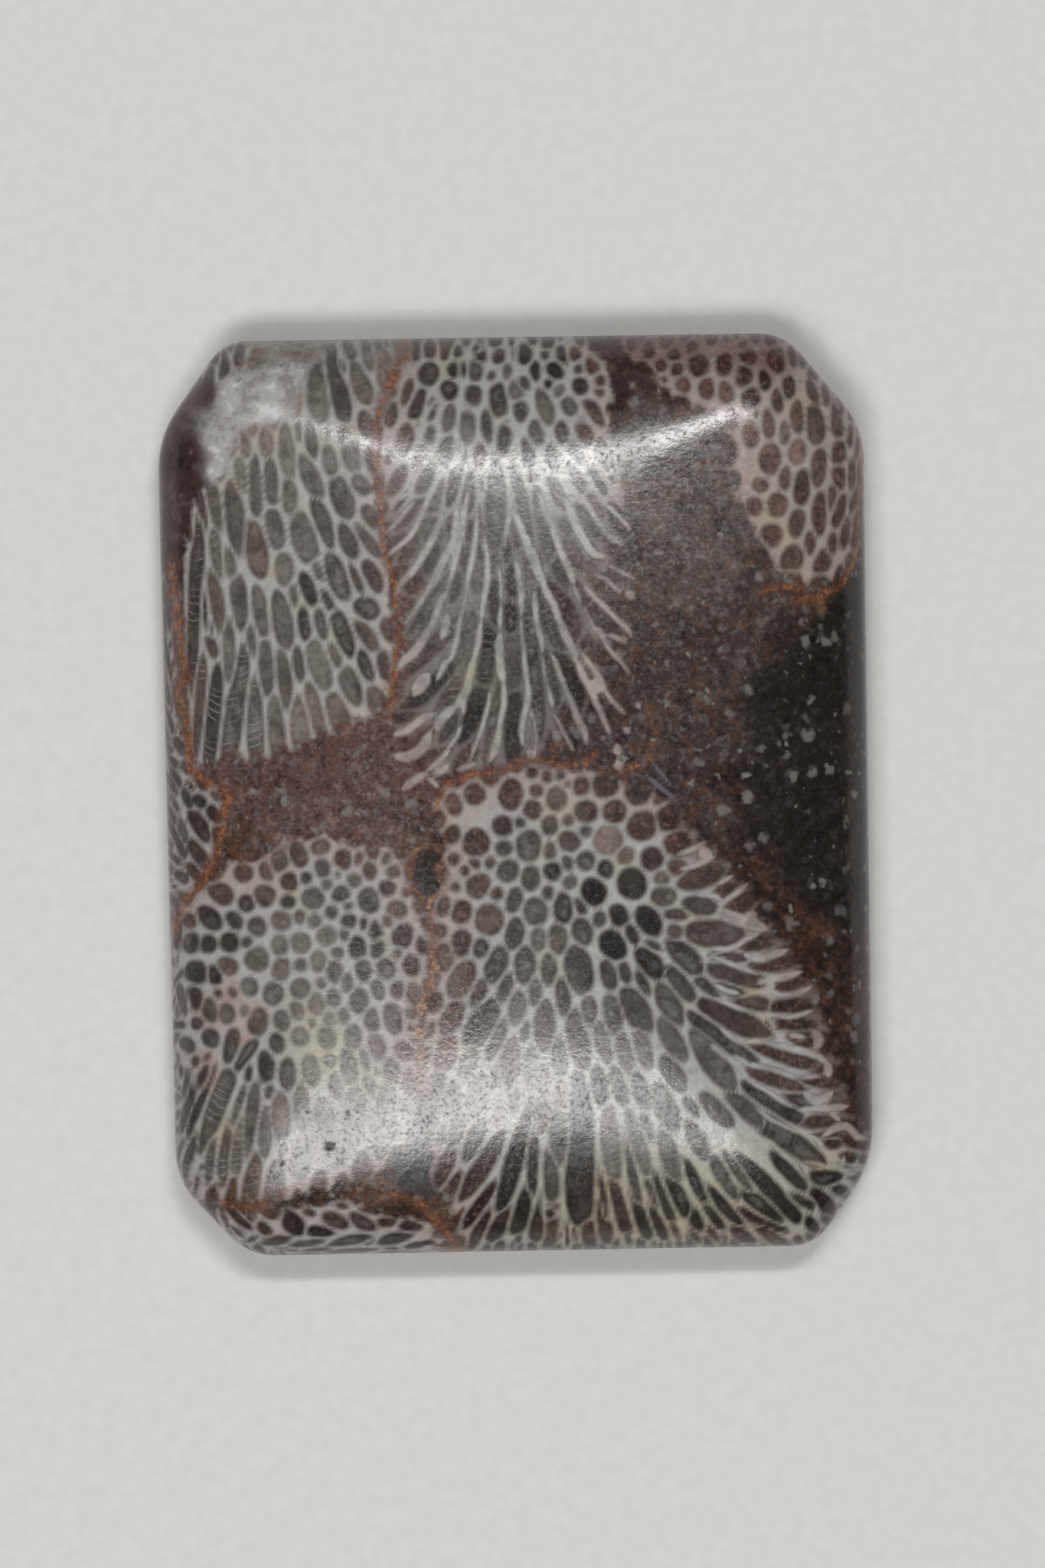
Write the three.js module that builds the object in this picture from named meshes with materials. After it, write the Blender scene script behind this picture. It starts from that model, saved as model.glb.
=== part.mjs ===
// A polished cabochon of fossil palm wood: one flat-backed stone with a low domed top.
// Seen from above it is a rectangle, a little taller than wide, with its four corners cut off.
// The origin is the middle of the flat back. +Z points out of the domed top and +Y along the stone.
// Lengths are in millimetres and angles in degrees.
import * as THREE from "three";

// The girdle is ground from eight straight sides. Each has the direction that it faces,
// counted from +X, and its distance from the middle of the stone.
const SIDES = [
  { name: "right", facing: -0.3, distance: 15.33 },
  { name: "upper right cut", facing: 39.5, distance: 21.9 },
  { name: "top", facing: 89.8, distance: 19.94 },
  { name: "upper left cut", facing: 144.5, distance: 21.75 },
  { name: "left", facing: 180.4, distance: 15.31 },
  { name: "lower left cut", facing: 223.0, distance: 22.45 },
  { name: "bottom", facing: 270.0, distance: 19.97 },
  { name: "lower right cut", facing: 324.5, distance: 21.9 },
];
const CORNER_SOFTNESS = 0.9; // how far the polish reaches along each edge where two sides meet

const THICKNESS = 7.0; // at the middle of the dome
const DOME_RISE = 3.4; // the table is a slow pillow dome that would fall by this much
const DOME_REACH_X = 18.4; // at these distances from the middle,
const DOME_REACH_Y = 25.8; // if the crown didn't cut it off first
const GIRDLE_TOP = 1.8; // above this the crown leans inwards
const CROWN_HEIGHT = 6.2; // the crown is a quarter ellipse of this height and width,
const CROWN_WIDTH = 21; // which the dome cuts off partway up
const CREST_SOFTNESS_TOP = 0.35; // rounding of the crest between crown and dome at the +Y end
const CREST_SOFTNESS_BOTTOM = 1.5; // and at the -Y end, which is worn rounder
const BACK_BEVEL = 0.5; // chamfer round the flat back

const SPOKES = 160; // facets round the stone
const CROWN_RINGS = 11; // rings between the girdle and the crest
const DOME_RINGS = 6; // rings between the crest and the middle
const CREST_SHARE = 0.66; // where the crest lies, as a share of the way to the girdle

const radians = (degrees) => THREE.MathUtils.degToRad(degrees);

// The smaller of two heights, with the corner between them rounded over.
function softMin(a, b, softness) {
  const overlap = Math.max(softness - Math.abs(a - b), 0) / softness;
  return Math.min(a, b) - (overlap * overlap * softness) / 4;
}

// How far a point lies inside the girdle.
function inset(x, y) {
  const distances = SIDES.map(({ facing, distance }) => {
    const angle = radians(facing);
    return distance - x * Math.cos(angle) - y * Math.sin(angle);
  });
  return distances.reduce((a, b) => softMin(a, b, CORNER_SOFTNESS));
}

// The height of the polished top over a point of the plan.
function topHeight(x, y) {
  const fall = (1 - (x / DOME_REACH_X) ** 2) * (1 - (y / DOME_REACH_Y) ** 2);
  const dome = THICKNESS - DOME_RISE * (1 - fall);
  const share = 1 - THREE.MathUtils.clamp(inset(x, y) / CROWN_WIDTH, 0, 1);
  const crown = GIRDLE_TOP + CROWN_HEIGHT * Math.sqrt(1 - share ** 2);
  const along = THREE.MathUtils.smoothstep(y, -15, 15);
  const softness = THREE.MathUtils.lerp(CREST_SOFTNESS_BOTTOM, CREST_SOFTNESS_TOP, along);
  return softMin(dome, crown, softness);
}

// The point of the girdle that lies in a direction from the middle.
function girdlePoint(angle) {
  let near = 0;
  let far = 30;
  for (let step = 0; step < 40; step += 1) {
    const middle = (near + far) / 2;
    if (inset(middle * Math.cos(angle), middle * Math.sin(angle)) > 0) near = middle;
    else far = middle;
  }
  return new THREE.Vector2(near * Math.cos(angle), near * Math.sin(angle));
}

// Rings from the girdle to the middle, as shares of the way out. They crowd together
// at the girdle, where the crown is steepest.
function ringShares() {
  const crown = Array.from({ length: CROWN_RINGS }, (_, i) => {
    const across = i / CROWN_RINGS;
    return 1 - (1 - CREST_SHARE) * across ** 1.8;
  });
  const dome = Array.from({ length: DOME_RINGS }, (_, i) => CREST_SHARE * (1 - i / DOME_RINGS));
  return [...crown, ...dome];
}

// The whole stone as one closed surface: back, chamfer, girdle, crown and dome.
function stoneGeometry() {
  const girdle = Array.from({ length: SPOKES }, (_, i) => girdlePoint((2 * Math.PI * i) / SPOKES));
  const positions = [];
  const addRing = (share, height) => {
    for (const p of girdle) positions.push(p.x * share, p.y * share, height(p.x * share, p.y * share));
  };
  const shares = ringShares();
  const widest = SIDES[0].distance;
  addRing(1 - BACK_BEVEL / widest, () => 0);
  addRing(1, () => BACK_BEVEL);
  for (const share of shares) addRing(share, topHeight);

  const ringCount = shares.length + 2;
  const backMiddle = positions.length / 3;
  positions.push(0, 0, 0);
  const topMiddle = backMiddle + 1;
  positions.push(0, 0, topHeight(0, 0));

  const triangles = [];
  for (let i = 0; i < SPOKES; i += 1) {
    const next = (i + 1) % SPOKES;
    triangles.push(backMiddle, next, i);
    for (let ring = 0; ring < ringCount - 1; ring += 1) {
      const below = ring * SPOKES;
      const above = below + SPOKES;
      triangles.push(below + i, below + next, above + next);
      triangles.push(below + i, above + next, above + i);
    }
    const last = (ringCount - 1) * SPOKES;
    triangles.push(last + i, last + next, topMiddle);
  }

  const geometry = new THREE.BufferGeometry();
  geometry.setAttribute("position", new THREE.Float32BufferAttribute(positions, 3));
  geometry.setIndex(triangles);
  geometry.computeVertexNormals();
  return geometry;
}

const polishedFossil = new THREE.MeshStandardMaterial({
  color: new THREE.Color().setRGB(0.4, 0.37, 0.35, THREE.SRGBColorSpace),
  roughness: 0.25,
  metalness: 0,
});

const stone = new THREE.Mesh(stoneGeometry(), polishedFossil);
stone.name = "fossil_stone";

const part = new THREE.Group();
part.add(stone);

export default part;
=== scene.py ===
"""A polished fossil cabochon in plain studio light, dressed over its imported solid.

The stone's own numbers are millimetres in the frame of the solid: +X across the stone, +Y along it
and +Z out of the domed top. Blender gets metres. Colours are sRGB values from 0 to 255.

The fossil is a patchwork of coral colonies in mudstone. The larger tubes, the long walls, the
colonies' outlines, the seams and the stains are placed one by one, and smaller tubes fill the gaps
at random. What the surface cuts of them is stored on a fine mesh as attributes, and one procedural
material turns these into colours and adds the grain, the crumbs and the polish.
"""

import math

import bpy
import numpy as np
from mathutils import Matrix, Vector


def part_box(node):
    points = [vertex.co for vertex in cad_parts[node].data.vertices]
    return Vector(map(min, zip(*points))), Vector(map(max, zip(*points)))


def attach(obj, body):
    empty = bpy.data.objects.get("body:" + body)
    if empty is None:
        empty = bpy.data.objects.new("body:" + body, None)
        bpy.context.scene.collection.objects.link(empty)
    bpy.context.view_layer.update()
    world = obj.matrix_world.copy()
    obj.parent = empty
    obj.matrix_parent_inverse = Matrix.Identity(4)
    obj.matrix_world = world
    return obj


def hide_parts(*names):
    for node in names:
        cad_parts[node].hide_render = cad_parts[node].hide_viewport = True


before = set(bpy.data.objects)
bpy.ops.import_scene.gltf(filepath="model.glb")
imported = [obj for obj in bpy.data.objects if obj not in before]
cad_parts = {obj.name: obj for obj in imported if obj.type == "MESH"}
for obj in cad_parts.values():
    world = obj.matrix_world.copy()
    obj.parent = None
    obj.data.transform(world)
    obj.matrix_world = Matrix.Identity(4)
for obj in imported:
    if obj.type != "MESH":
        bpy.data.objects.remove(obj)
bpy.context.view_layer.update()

MM = 0.001
SEED = 7

# ---------------------------------------------------------------- the stone's form

# The eight ground sides: the direction each faces, counted from +X, and its distance from the middle.
SIDES = (
    (-0.3, 15.33),
    (39.5, 21.9),
    (89.8, 19.94),
    (144.5, 21.75),
    (180.4, 15.31),
    (223.0, 22.45),
    (270.0, 19.97),
    (324.5, 21.9),
)
HALF_WIDTH = SIDES[0][1]
HALF_LENGTH = SIDES[6][1]
CORNER_SOFTNESS = 0.9
THICKNESS = 7.0
DOME_RISE = 3.4
DOME_REACH = (18.4, 25.8)
GIRDLE_TOP = 1.8
CROWN_HEIGHT = 6.2
CROWN_WIDTH = 21
CREST_SOFTNESS = (1.5, 0.35)  # at the -Y end and at the +Y end
CREST_CHANGE = (-15, 15)  # where along the stone the crest goes from the first to the second
BACK_BEVEL = 0.5
BACK_SHARE = 1 - BACK_BEVEL / HALF_WIDTH  # the size of the flat back as a share of the girdle's

MESH_STEP = 0.14  # between vertices on the table
RIM_WIDTH = 1.0  # the mesh crowds together over this width inside the girdle,
RIM_ROWS = 10  # where the crown is steep
GIRDLE_ROWS = 8
BEVEL_ROWS = 3
SIDE_ROWS = GIRDLE_ROWS + BEVEL_ROWS
BEYOND = 30.0  # farther from the middle than any side
HALVINGS = 34  # of the way between the middle and there, to find the girdle
SLOPE_STEP = 0.02  # to each side of a point whose slopes are measured
TINY = 1e-9

# The parts of the baking sheet that the top with its sides and the flat back take: their lowest
# corners and their sizes.
TOP_SHEET = ((0.005, 0.01), (0.77, 0.98))
BACK_SHEET = ((0.78, 0.02), (0.2, 0.26))


def soft_min(a, b, softness):
    """The smaller of two heights, with the corner between them rounded over."""
    overlap = np.maximum(softness - np.abs(a - b), 0) / softness
    return np.minimum(a, b) - overlap**2 * softness / 4


def smooth_step(value, low, high):
    """Goes smoothly from 0 to 1 while the value goes from low to high."""
    share = np.clip((value - low) / (high - low), 0, 1)
    return share * share * (3 - 2 * share)


def inset(x, y):
    """How far a point of the plan lies inside the girdle."""
    depth = None
    for facing, distance in SIDES:
        angle = math.radians(facing)
        to_side = distance - x * math.cos(angle) - y * math.sin(angle)
        depth = to_side if depth is None else soft_min(depth, to_side, CORNER_SOFTNESS)
    return depth


def top_height(x, y):
    """The height of the polished top over a point of the plan."""
    fall = (1 - (x / DOME_REACH[0]) ** 2) * (1 - (y / DOME_REACH[1]) ** 2)
    dome = THICKNESS - DOME_RISE * (1 - fall)
    share = 1 - np.clip(inset(x, y) / CROWN_WIDTH, 0, 1)
    crown = GIRDLE_TOP + CROWN_HEIGHT * np.sqrt(1 - share**2)
    along = smooth_step(y, *CREST_CHANGE)
    softness = CREST_SOFTNESS[0] + (CREST_SOFTNESS[1] - CREST_SOFTNESS[0]) * along
    return soft_min(dome, crown, softness)


def top_slopes(x, y):
    """How steeply the top rises towards +X and towards +Y."""
    rise_x = top_height(x + SLOPE_STEP, y) - top_height(x - SLOPE_STEP, y)
    rise_y = top_height(x, y + SLOPE_STEP) - top_height(x, y - SLOPE_STEP)
    return rise_x / (2 * SLOPE_STEP), rise_y / (2 * SLOPE_STEP)


def crowded_lines(half):
    """Positions from -half to half, evenly spaced inside and crowding together at both ends."""
    rim = RIM_WIDTH * (np.arange(RIM_ROWS) / RIM_ROWS) ** 2
    inner = half - RIM_WIDTH
    spaces = 2 * round(inner / MESH_STEP)
    middle = np.linspace(-inner, inner, spaces + 1)
    return np.concatenate([rim - half, middle, (half - rim)[::-1]])


def fit_to_girdle(x, y):
    """Draws a rectangular lattice in along its rays until its rim lies on the girdle."""
    far = np.hypot(x, y) + TINY
    across, along = x / far, y / far
    rectangle = np.minimum(HALF_WIDTH / (np.abs(across) + TINY), HALF_LENGTH / (np.abs(along) + TINY))
    low, high = np.zeros_like(far), np.full_like(far, BEYOND)
    for _ in range(HALVINGS):
        middle = (low + high) / 2
        within = inset(middle * across, middle * along) > 0
        low, high = np.where(within, middle, low), np.where(within, high, middle)
    return x * low / rectangle, y * low / rectangle


def rim_corners(columns, rows):
    """Corners round the rim of the lattice, counter-clockwise from its lowest corner."""
    bottom = [(i, 0) for i in range(columns)]
    right = [(columns, j) for j in range(rows)]
    top = [(i, rows) for i in range(columns, 0, -1)]
    left = [(0, j) for j in range(rows, 0, -1)]
    return bottom + right + top + left


def side_points(rim_x, rim_y):
    """Points of the loops round the stone under the rim of its top: the girdle, then the bevel."""
    loops = []
    for row in range(1, SIDE_ROWS + 1):
        if row <= GIRDLE_ROWS:
            share, z = 1.0, GIRDLE_TOP + (BACK_BEVEL - GIRDLE_TOP) * row / GIRDLE_ROWS
        else:
            down = (row - GIRDLE_ROWS) / BEVEL_ROWS
            share, z = 1 + (BACK_SHARE - 1) * down, BACK_BEVEL * (1 - down)
        loops.append(np.stack([rim_x * share, rim_y * share, np.full(len(rim_x), z)], axis=-1))
    return loops


def sheet_place(sheet, corner, size):
    """Where a corner of a lattice of this size lies on a part of the baking sheet."""
    return tuple(low + reach * at / whole for low, reach, at, whole in zip(*sheet, corner, size))


def top_place(corner, size):
    """The top leaves room all round it on the sheet for the rows of the upright sides."""
    corner = [at + SIDE_ROWS for at in corner]
    return sheet_place(TOP_SHEET, corner, [whole + 2 * SIDE_ROWS for whole in size])


def side_place(corner, near, far, depth, size):
    """The upright sides lie round the top on the sheet, like a frame round a picture."""
    i, j = corner
    if near[0] != far[0]:
        j += -depth if near[1] == 0 else depth
    else:
        i += -depth if near[0] == 0 else depth
    return top_place((i, j), size)


def stone_mesh():
    """The whole stone as one closed mesh, with the places of its faces on the baking sheet."""
    lines_x, lines_y = crowded_lines(HALF_WIDTH), crowded_lines(HALF_LENGTH)
    size = columns, rows = len(lines_x) - 1, len(lines_y) - 1
    plan_x, plan_y = fit_to_girdle(*np.meshgrid(lines_x, lines_y, indexing="ij"))
    points = [np.stack([plan_x, plan_y, top_height(plan_x, plan_y)], axis=-1).reshape(-1, 3)]
    top_index = np.arange(plan_x.size).reshape(plan_x.shape)
    count = plan_x.size

    rim = rim_corners(columns, rows)
    rim_i, rim_j = np.transpose(rim)
    points += side_points(plan_x[rim_i, rim_j], plan_y[rim_i, rim_j])
    loops = [top_index[rim_i, rim_j]]
    for _ in range(SIDE_ROWS):
        loops.append(np.arange(count, count + len(rim)))
        count += len(rim)

    # The flat back has every second line of the lattice, and its rim is the last loop.
    back_index = np.full(plan_x.shape, -1)
    back_index[rim_i, rim_j] = loops[-1]
    inner_i, inner_j = np.mgrid[2:columns:2, 2:rows:2].reshape(2, -1)
    back_index[inner_i, inner_j] = np.arange(count, count + len(inner_i))
    flat_x, flat_y = plan_x[inner_i, inner_j] * BACK_SHARE, plan_y[inner_i, inner_j] * BACK_SHARE
    points.append(np.stack([flat_x, flat_y, np.zeros(len(inner_i))], axis=-1))

    faces, sheet = [], []
    for i in range(columns):
        for j in range(rows):
            around = ((i, j), (i + 1, j), (i + 1, j + 1), (i, j + 1))
            faces.append([top_index[c] for c in around])
            sheet.append([top_place(c, size) for c in around])
    for row, (upper, lower) in enumerate(zip(loops, loops[1:])):
        for k, near in enumerate(rim):
            following = (k + 1) % len(rim)
            far = rim[following]
            faces.append([upper[k], lower[k], lower[following], upper[following]])
            corners = ((near, row), (near, row + 1), (far, row + 1), (far, row))
            sheet.append([side_place(c, near, far, depth, size) for c, depth in corners])
    for i in range(0, columns, 2):
        for j in range(0, rows, 2):
            around = [(i, j), (i, j + 1), (i, j + 2), (i + 1, j + 2)]
            around += [(i + 2, j + 2), (i + 2, j + 1), (i + 2, j), (i + 1, j)]
            around = [c for c in around if back_index[c] >= 0]
            faces.append([back_index[c] for c in around])
            sheet.append([sheet_place(BACK_SHEET, c, size) for c in around])
    return np.concatenate(points), faces, sheet


# ---------------------------------------------------------------- the colonies

# Each colony: the place that its tubes grow away from, how many times longer than wide they are,
# half the thickness of their walls, how far the mud outside has filled the tubes at its edge, how
# strong their cross partitions are, how far mud has stained it from its edge, and how muddy its
# tubes are inside it and how much more so at its edge. Then come its outline and its growth marks:
# x, y, the heading of the tube there counted clockwise from +Y, how many times longer than wide
# the surface cuts it, half its spacing, and how dark its filling is, from 0 to 1.
COLONIES = {
    "upper left": dict(
        source=(-9.5, 22.0),
        longest=10,
        wall=0.135,
        open=0.1,
        ladder=1,
        fringe=0.9,
        brown=(0.08, 0.35),
        outline=(
            (-14.0, 12.6), (-13.3, 13.3), (-12.7, 13.9), (-12.2, 15.0), (-11.8, 16.1), (-10.6, 16.3),
            (-9.5, 16.4), (-9.2, 17.5), (-8.8, 18.7), (-7.8, 19.6), (-6.8, 20.6), (-4.9, 20.6),
            (-5.0, 18.9), (-5.9, 17.2), (-6.2, 16.0), (-6.1, 14.0), (-5.9, 12.0), (-5.8, 10.6),
            (-5.5, 9.2), (-5.3, 7.4), (-5.4, 5.6), (-5.6, 3.9), (-6.5, 3.5), (-7.2, 3.4), (-8.2, 2.8),
            (-9.2, 2.5), (-10.0, 2.2), (-11.0, 1.8), (-12.0, 2.0), (-12.8, 2.0), (-13.2, 1.5),
            (-13.9, 1.9), (-14.2, 3.3), (-14.1, 4.5), (-13.95, 5.4), (-14.3, 6.5), (-14.4, 8.0),
            (-14.3, 9.5), (-14.2, 10.4), (-13.9, 11.5),
        ),
        marks=(
            (-11.5, 15.35, 180, 2.2, 0.4, 0.1), (-10.6, 15.45, 180, 1.7, 0.48, 0.05),
            (-9.7, 14.95, 176, 2.6, 0.49, 0.2), (-11.7, 14.05, 180, 2.7, 0.35, 0.2),
            (-11.1, 13.55, 180, 3.8, 0.39, 0.4), (-10.4, 13.7, 180, 2.7, 0.43, 0.35),
            (-9.63, 13.05, 180, 2.3, 0.41, 0.25), (-8.7, 13.9, 155, 2.4, 0.48, 0.35),
            (-7.85, 14.5, 170, 2, 0.43, 0.25), (-7.35, 12.95, 163, 2, 0.58, 0.45),
            (-6.55, 13.5, 150, 1.4, 0.43, 0.4), (-6.15, 12.05, 150, 1.5, 0.43, 0.5),
            (-12.9, 12.65, 180, 2.7, 0.43, 0.35), (-12, 12.1, 180, 2.9, 0.55, 0.4),
            (-11.1, 10.8, 178, 2.1, 0.61, 0.35), (-10.27, 11.65, 176, 2, 0.5, 0.35),
            (-9, 11.2, 168, 2, 0.63, 0.35), (-8.16, 11.85, 163, 2.6, 0.46, 0.45),
            (-7.1, 11.05, 163, 1.8, 0.51, 0.5), (-6.35, 11.15, 145, 2.7, 0.35, 0.4),
            (-13.8, 8.7, 186, 8.5, 0.46, 0.62), (-12.85, 10.75, 180, 3.2, 0.38, 0.3),
            (-12.25, 10.15, 180, 2.1, 0.37, 0.25), (-9.87, 9.85, 180, 1.7, 0.49, 0.3),
            (-7.6, 9.5, 163, 1.8, 0.63, 0.55), (-8.85, 8.95, 165, 1.8, 0.51, 0.7),
            (-8.4, 9.75, 165, 1.9, 0.33, 0.4), (-13.4, 12.5, 180, 2.7, 0.33, 0.5),
            (-7.25, 15.6, 180, 1.2, 0.41, 0.4), (-8.35, 17.4, 175, 3.3, 0.55, 0.25),
            (-7.4, 17.6, 167, 3.7, 0.51, 0.5), (-6.5, 18, 155, 2.3, 0.53, 0.25),
            (-9.3, 17.2, 180, 3.7, 0.33, 0), (-6.25, 16.1, 165, 1.5, 0.43, 0.4),
            (-12.88, 8.45, 180, 2.9, 0.49, 0.4), (-11.87, 8.5, 180, 2.6, 0.49, 0.4),
            (-10.97, 7.9, 178, 2.8, 0.43, 0.35), (-9.97, 7.55, 177, 2.4, 0.58, 0.4),
            (-9.47, 8.75, 175, 2.2, 0.33, 0.35), (-9.07, 7.5, 176, 2.6, 0.4, 0.7),
            (-8.33, 7.5, 172, 2.2, 0.4, 0.45), (-8.05, 8.5, 160, 2.2, 0.33, 0.65),
            (-7.4, 7.05, 162, 2.4, 0.51, 0.7), (-6.35, 8.1, 130, 1.2, 0.58, 0.65),
            (-6.1, 9.5, 155, 1.8, 0.46, 0.5), (-6.8, 9.4, 155, 2.3, 0.35, 0.5),
            (-5.45, 7.15, 165, 1.6, 0.39, 0.55), (-6.35, 6.9, 150, 2.2, 0.43, 0.45),
            (-5.67, 5.7, 175, 1.9, 0.39, 0.6), (-6.45, 5.65, 165, 2.1, 0.41, 0.65),
            (-7.1, 4.85, 163, 1.8, 0.55, 0.4), (-7.75, 6.05, 160, 2.3, 0.35, 0.35),
            (-8.45, 5.75, 168, 2.1, 0.61, 0.2), (-9.35, 5.85, 178, 2.2, 0.4, 0.5),
            (-6.03, 4.15, 165, 1.6, 0.48, 0.3), (-7.7, 3.6, 168, 2, 0.53, 0.25),
            (-8.65, 3.75, 170, 3.2, 0.41, 0.25), (-9.35, 3.1, 180, 2.6, 0.51, 0.2),
            (-9.97, 5.1, 180, 3.4, 0.45, 0.4), (-10.75, 5.65, 180, 3.2, 0.46, 0.35),
            (-10.35, 3.1, 180, 3.6, 0.46, 0.3), (-11.35, 6.85, 180, 2.3, 0.35, 0.35),
            (-11.25, 3.4, 184, 3.9, 0.46, 0.35), (-12.4, 6.4, 184, 3.6, 0.41, 0.3),
            (-13.1, 6.65, 180, 1.4, 0.43, 0.45), (-12.15, 3.9, 194, 5, 0.53, 0.5),
            (-13.1, 3.6, 192, 4.8, 0.46, 0.65), (-13.7, 4.3, 190, 4.6, 0.37, 0.45),
        ),
    ),
    "upper middle": dict(
        source=(-0.4, 18.5),
        longest=13,
        wall=0.14,
        open=0.5,
        ladder=0.5,
        fringe=1.2,
        brown=(0.03, 0.6),
        outline=(
            (-4.3, 20.6), (-4.2, 19.2), (-4.7, 18.2), (-5.2, 17.0), (-5.5, 16.0), (-5.5, 14.0),
            (-5.4, 12.0), (-5.3, 10.6), (-4.9, 9.2), (-4.7, 7.4), (-4.5, 6.2), (-4.6, 5.2),
            (-4.7, 4.2), (-5.4, 3.8), (-5.4, 3.0), (-4.5, 2.6), (-4.3, 1.8), (-3.7, 1.0),
            (-3.5, 0.5), (-3.1, 0.9), (-2.0, 1.15), (-0.8, 1.15), (0.0, 1.5), (0.8, 1.7),
            (1.6, 2.4), (2.6, 2.9), (3.2, 3.6), (3.3, 4.6), (3.3, 5.8), (3.9, 6.6), (3.6, 7.8),
            (3.5, 8.8), (4.2, 10.0), (4.9, 10.8), (5.2, 11.5), (4.6, 12.6), (4.7, 13.6),
            (4.2, 15.0), (4.2, 16.6), (4.4, 17.6), (4.0, 18.6), (3.5, 19.3),
            (3.4, 20.6),
        ),
        marks=(
            (-3.43, 19.44, 180, 1, 0.55, 0.65), (-2.26, 19.3, 180, 1, 0.5, 0.65),
            (-1.38, 19.37, 180, 1, 0.46, 0.7), (-0.46, 19.05, 180, 1, 0.5, 0.6),
            (0.66, 19.15, 180, 1.1, 0.57, 0.85), (1.65, 19.15, 180, 1.1, 0.46, 0.75),
            (1.05, 19.8, 180, 1, 0.47, 0.9), (-0.64, 19.76, 180, 1, 0.5, 0.85),
            (-3.5, 18.25, 200, 1.1, 0.6, 0.65), (-2.37, 18.45, 190, 1.2, 0.46, 0.75),
            (-1.5, 18.45, 180, 1.2, 0.54, 0.5), (-2.65, 17.5, 190, 1.2, 0.55, 0.75),
            (-0.78, 18.15, 180, 1, 0.33, 0.5), (-0.1, 18.3, 180, 1.6, 0.33, 0.3),
            (1.15, 18.3, 175, 1.7, 0.38, 0.75), (1.97, 18.35, 165, 1.2, 0.55, 0.9),
            (0.56, 17.7, 180, 1, 0.49, 0.55), (2.1, 17.45, 165, 1.1, 0.43, 0.25),
            (3.1, 17.6, 150, 1.1, 0.54, 0.7), (3.9, 17.8, 150, 1.1, 0.43, 0.65),
            (3.06, 18.4, 160, 1, 0.42, 0.55), (2.8, 19.1, 170, 1, 0.55, 0.6),
            (-1.6, 17.2, 182, 1.3, 0.51, 0.55), (-0.46, 17, 180, 1.6, 0.58, 0.6),
            (0.42, 16.7, 175, 1.5, 0.46, 0.5), (1.55, 16.7, 158, 2.1, 0.48, 0.35),
            (2.57, 16.75, 130, 1.2, 0.5, 0.4), (3.6, 16.5, 140, 1.9, 0.45, 0.5),
            (-4, 16.9, 205, 1.8, 0.49, 0.6), (-2.7, 16.3, 190, 2, 0.45, 0.35),
            (-3.3, 16.7, 200, 2.1, 0.35, 0.35), (-1.85, 15.9, 185, 2, 0.48, 0.3),
            (-1, 15.9, 175, 2.1, 0.41, 0.5), (-0.3, 15.35, 180, 1.9, 0.43, 0.5),
            (-3.45, 15.6, 200, 1.6, 0.35, 0.45), (-4.45, 17.4, 205, 1.8, 0.38, 0.5),
            (3.2, 15.55, 150, 1.5, 0.48, 0.4), (-0.1, 5.6, 180, 4, 0.46, 0.55),
            (-0.1, 3.2, 182, 4.5, 0.43, 0.75), (3.6, 5.4, 148, 3.8, 0.54, 0.75),
            (1.5, 7.3, 160, 4.5, 0.46, 0.65), (2.4, 4.8, 155, 4.8, 0.46, 0.85),
            (0.85, 5.6, 176, 8, 0.4, 0.7), (1.6, 4.9, 168, 5.5, 0.35, 0.65),
            (-1.15, 5.8, 187, 4.4, 0.45, 0.8), (-1.75, 3.6, 205, 3.4, 0.5, 0.85),
            (-1, 3, 188, 6, 0.34, 0.5), (-2.1, 6.3, 192, 3.4, 0.43, 0.4), (-2.9, 4.1, 205, 3.5, 0.4, 0.55),
            (-3.6, 8, 215, 6, 0.38, 0.55), (-3.8, 6.2, 230, 5.5, 0.36, 0.6),
            (-3.9, 4.4, 232, 6, 0.38, 0.75), (-5.1, 3.4, 250, 2.5, 0.35, 0.85),
            (-2.9, 2.9, 215, 2, 0.38, 0.65), (-4.5, 2.35, 246, 4, 0.37, 0.5), (-4.4, 1.3, 246, 4, 0.4, 0.6),
            (-4.2, 0.2, 250, 4, 0.37, 0.6), (3.9, 7.3, 143, 5, 0.42, 0.65), (4.6, 6.2, 140, 3.4, 0.42, 0.6),
            (3.4, 3.2, 150, 2, 0.5, 0.9), (-0.72, 12.3, 180, 3.4, 0.6, 0.5),
            (0.45, 12.5, 168, 4.5, 0.38, 0.5), (0.1, 11.35, 170, 3.2, 0.3, 0.55),
            (-0.25, 10.4, 180, 2.4, 0.32, 0.6), (-1.85, 11.3, 185, 2.2, 0.33, 0.65),
            (-2.1, 10.1, 193, 3, 0.33, 0.6), (-2.45, 9.2, 200, 2.5, 0.35, 0.55),
            (-1.4, 11.6, 180, 4, 0.24, 0.4), (-3.3, 12.6, 207, 3.6, 0.34, 0.35),
            (-3.7, 11.6, 208, 2.6, 0.36, 0.45), (-4.5, 10.6, 218, 3, 0.42, 0.6),
            (-5, 9.7, 222, 2, 0.4, 0.6), (-4.4, 12.2, 222, 3.2, 0.36, 0.5),
            (-3.1, 11.1, 202, 1.6, 0.3, 0.5), (-3.6, 10.1, 210, 3.2, 0.36, 0.65),
            (-4.2, 9.2, 215, 2.4, 0.4, 0.65), (-3.7, 13.6, 205, 2.4, 0.42, 0.4),
            (-5, 13.5, 215, 2, 0.42, 0.45), (1.15, 12.1, 172, 3.2, 0.34, 0.4),
            (1.5, 10.7, 165, 3, 0.38, 0.5), (2, 9.4, 160, 2.8, 0.4, 0.6), (2, 12.9, 150, 2.2, 0.36, 0.4),
            (2.35, 11.3, 155, 1.6, 0.34, 0.45), (2.85, 13.5, 145, 2.6, 0.36, 0.5),
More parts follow.
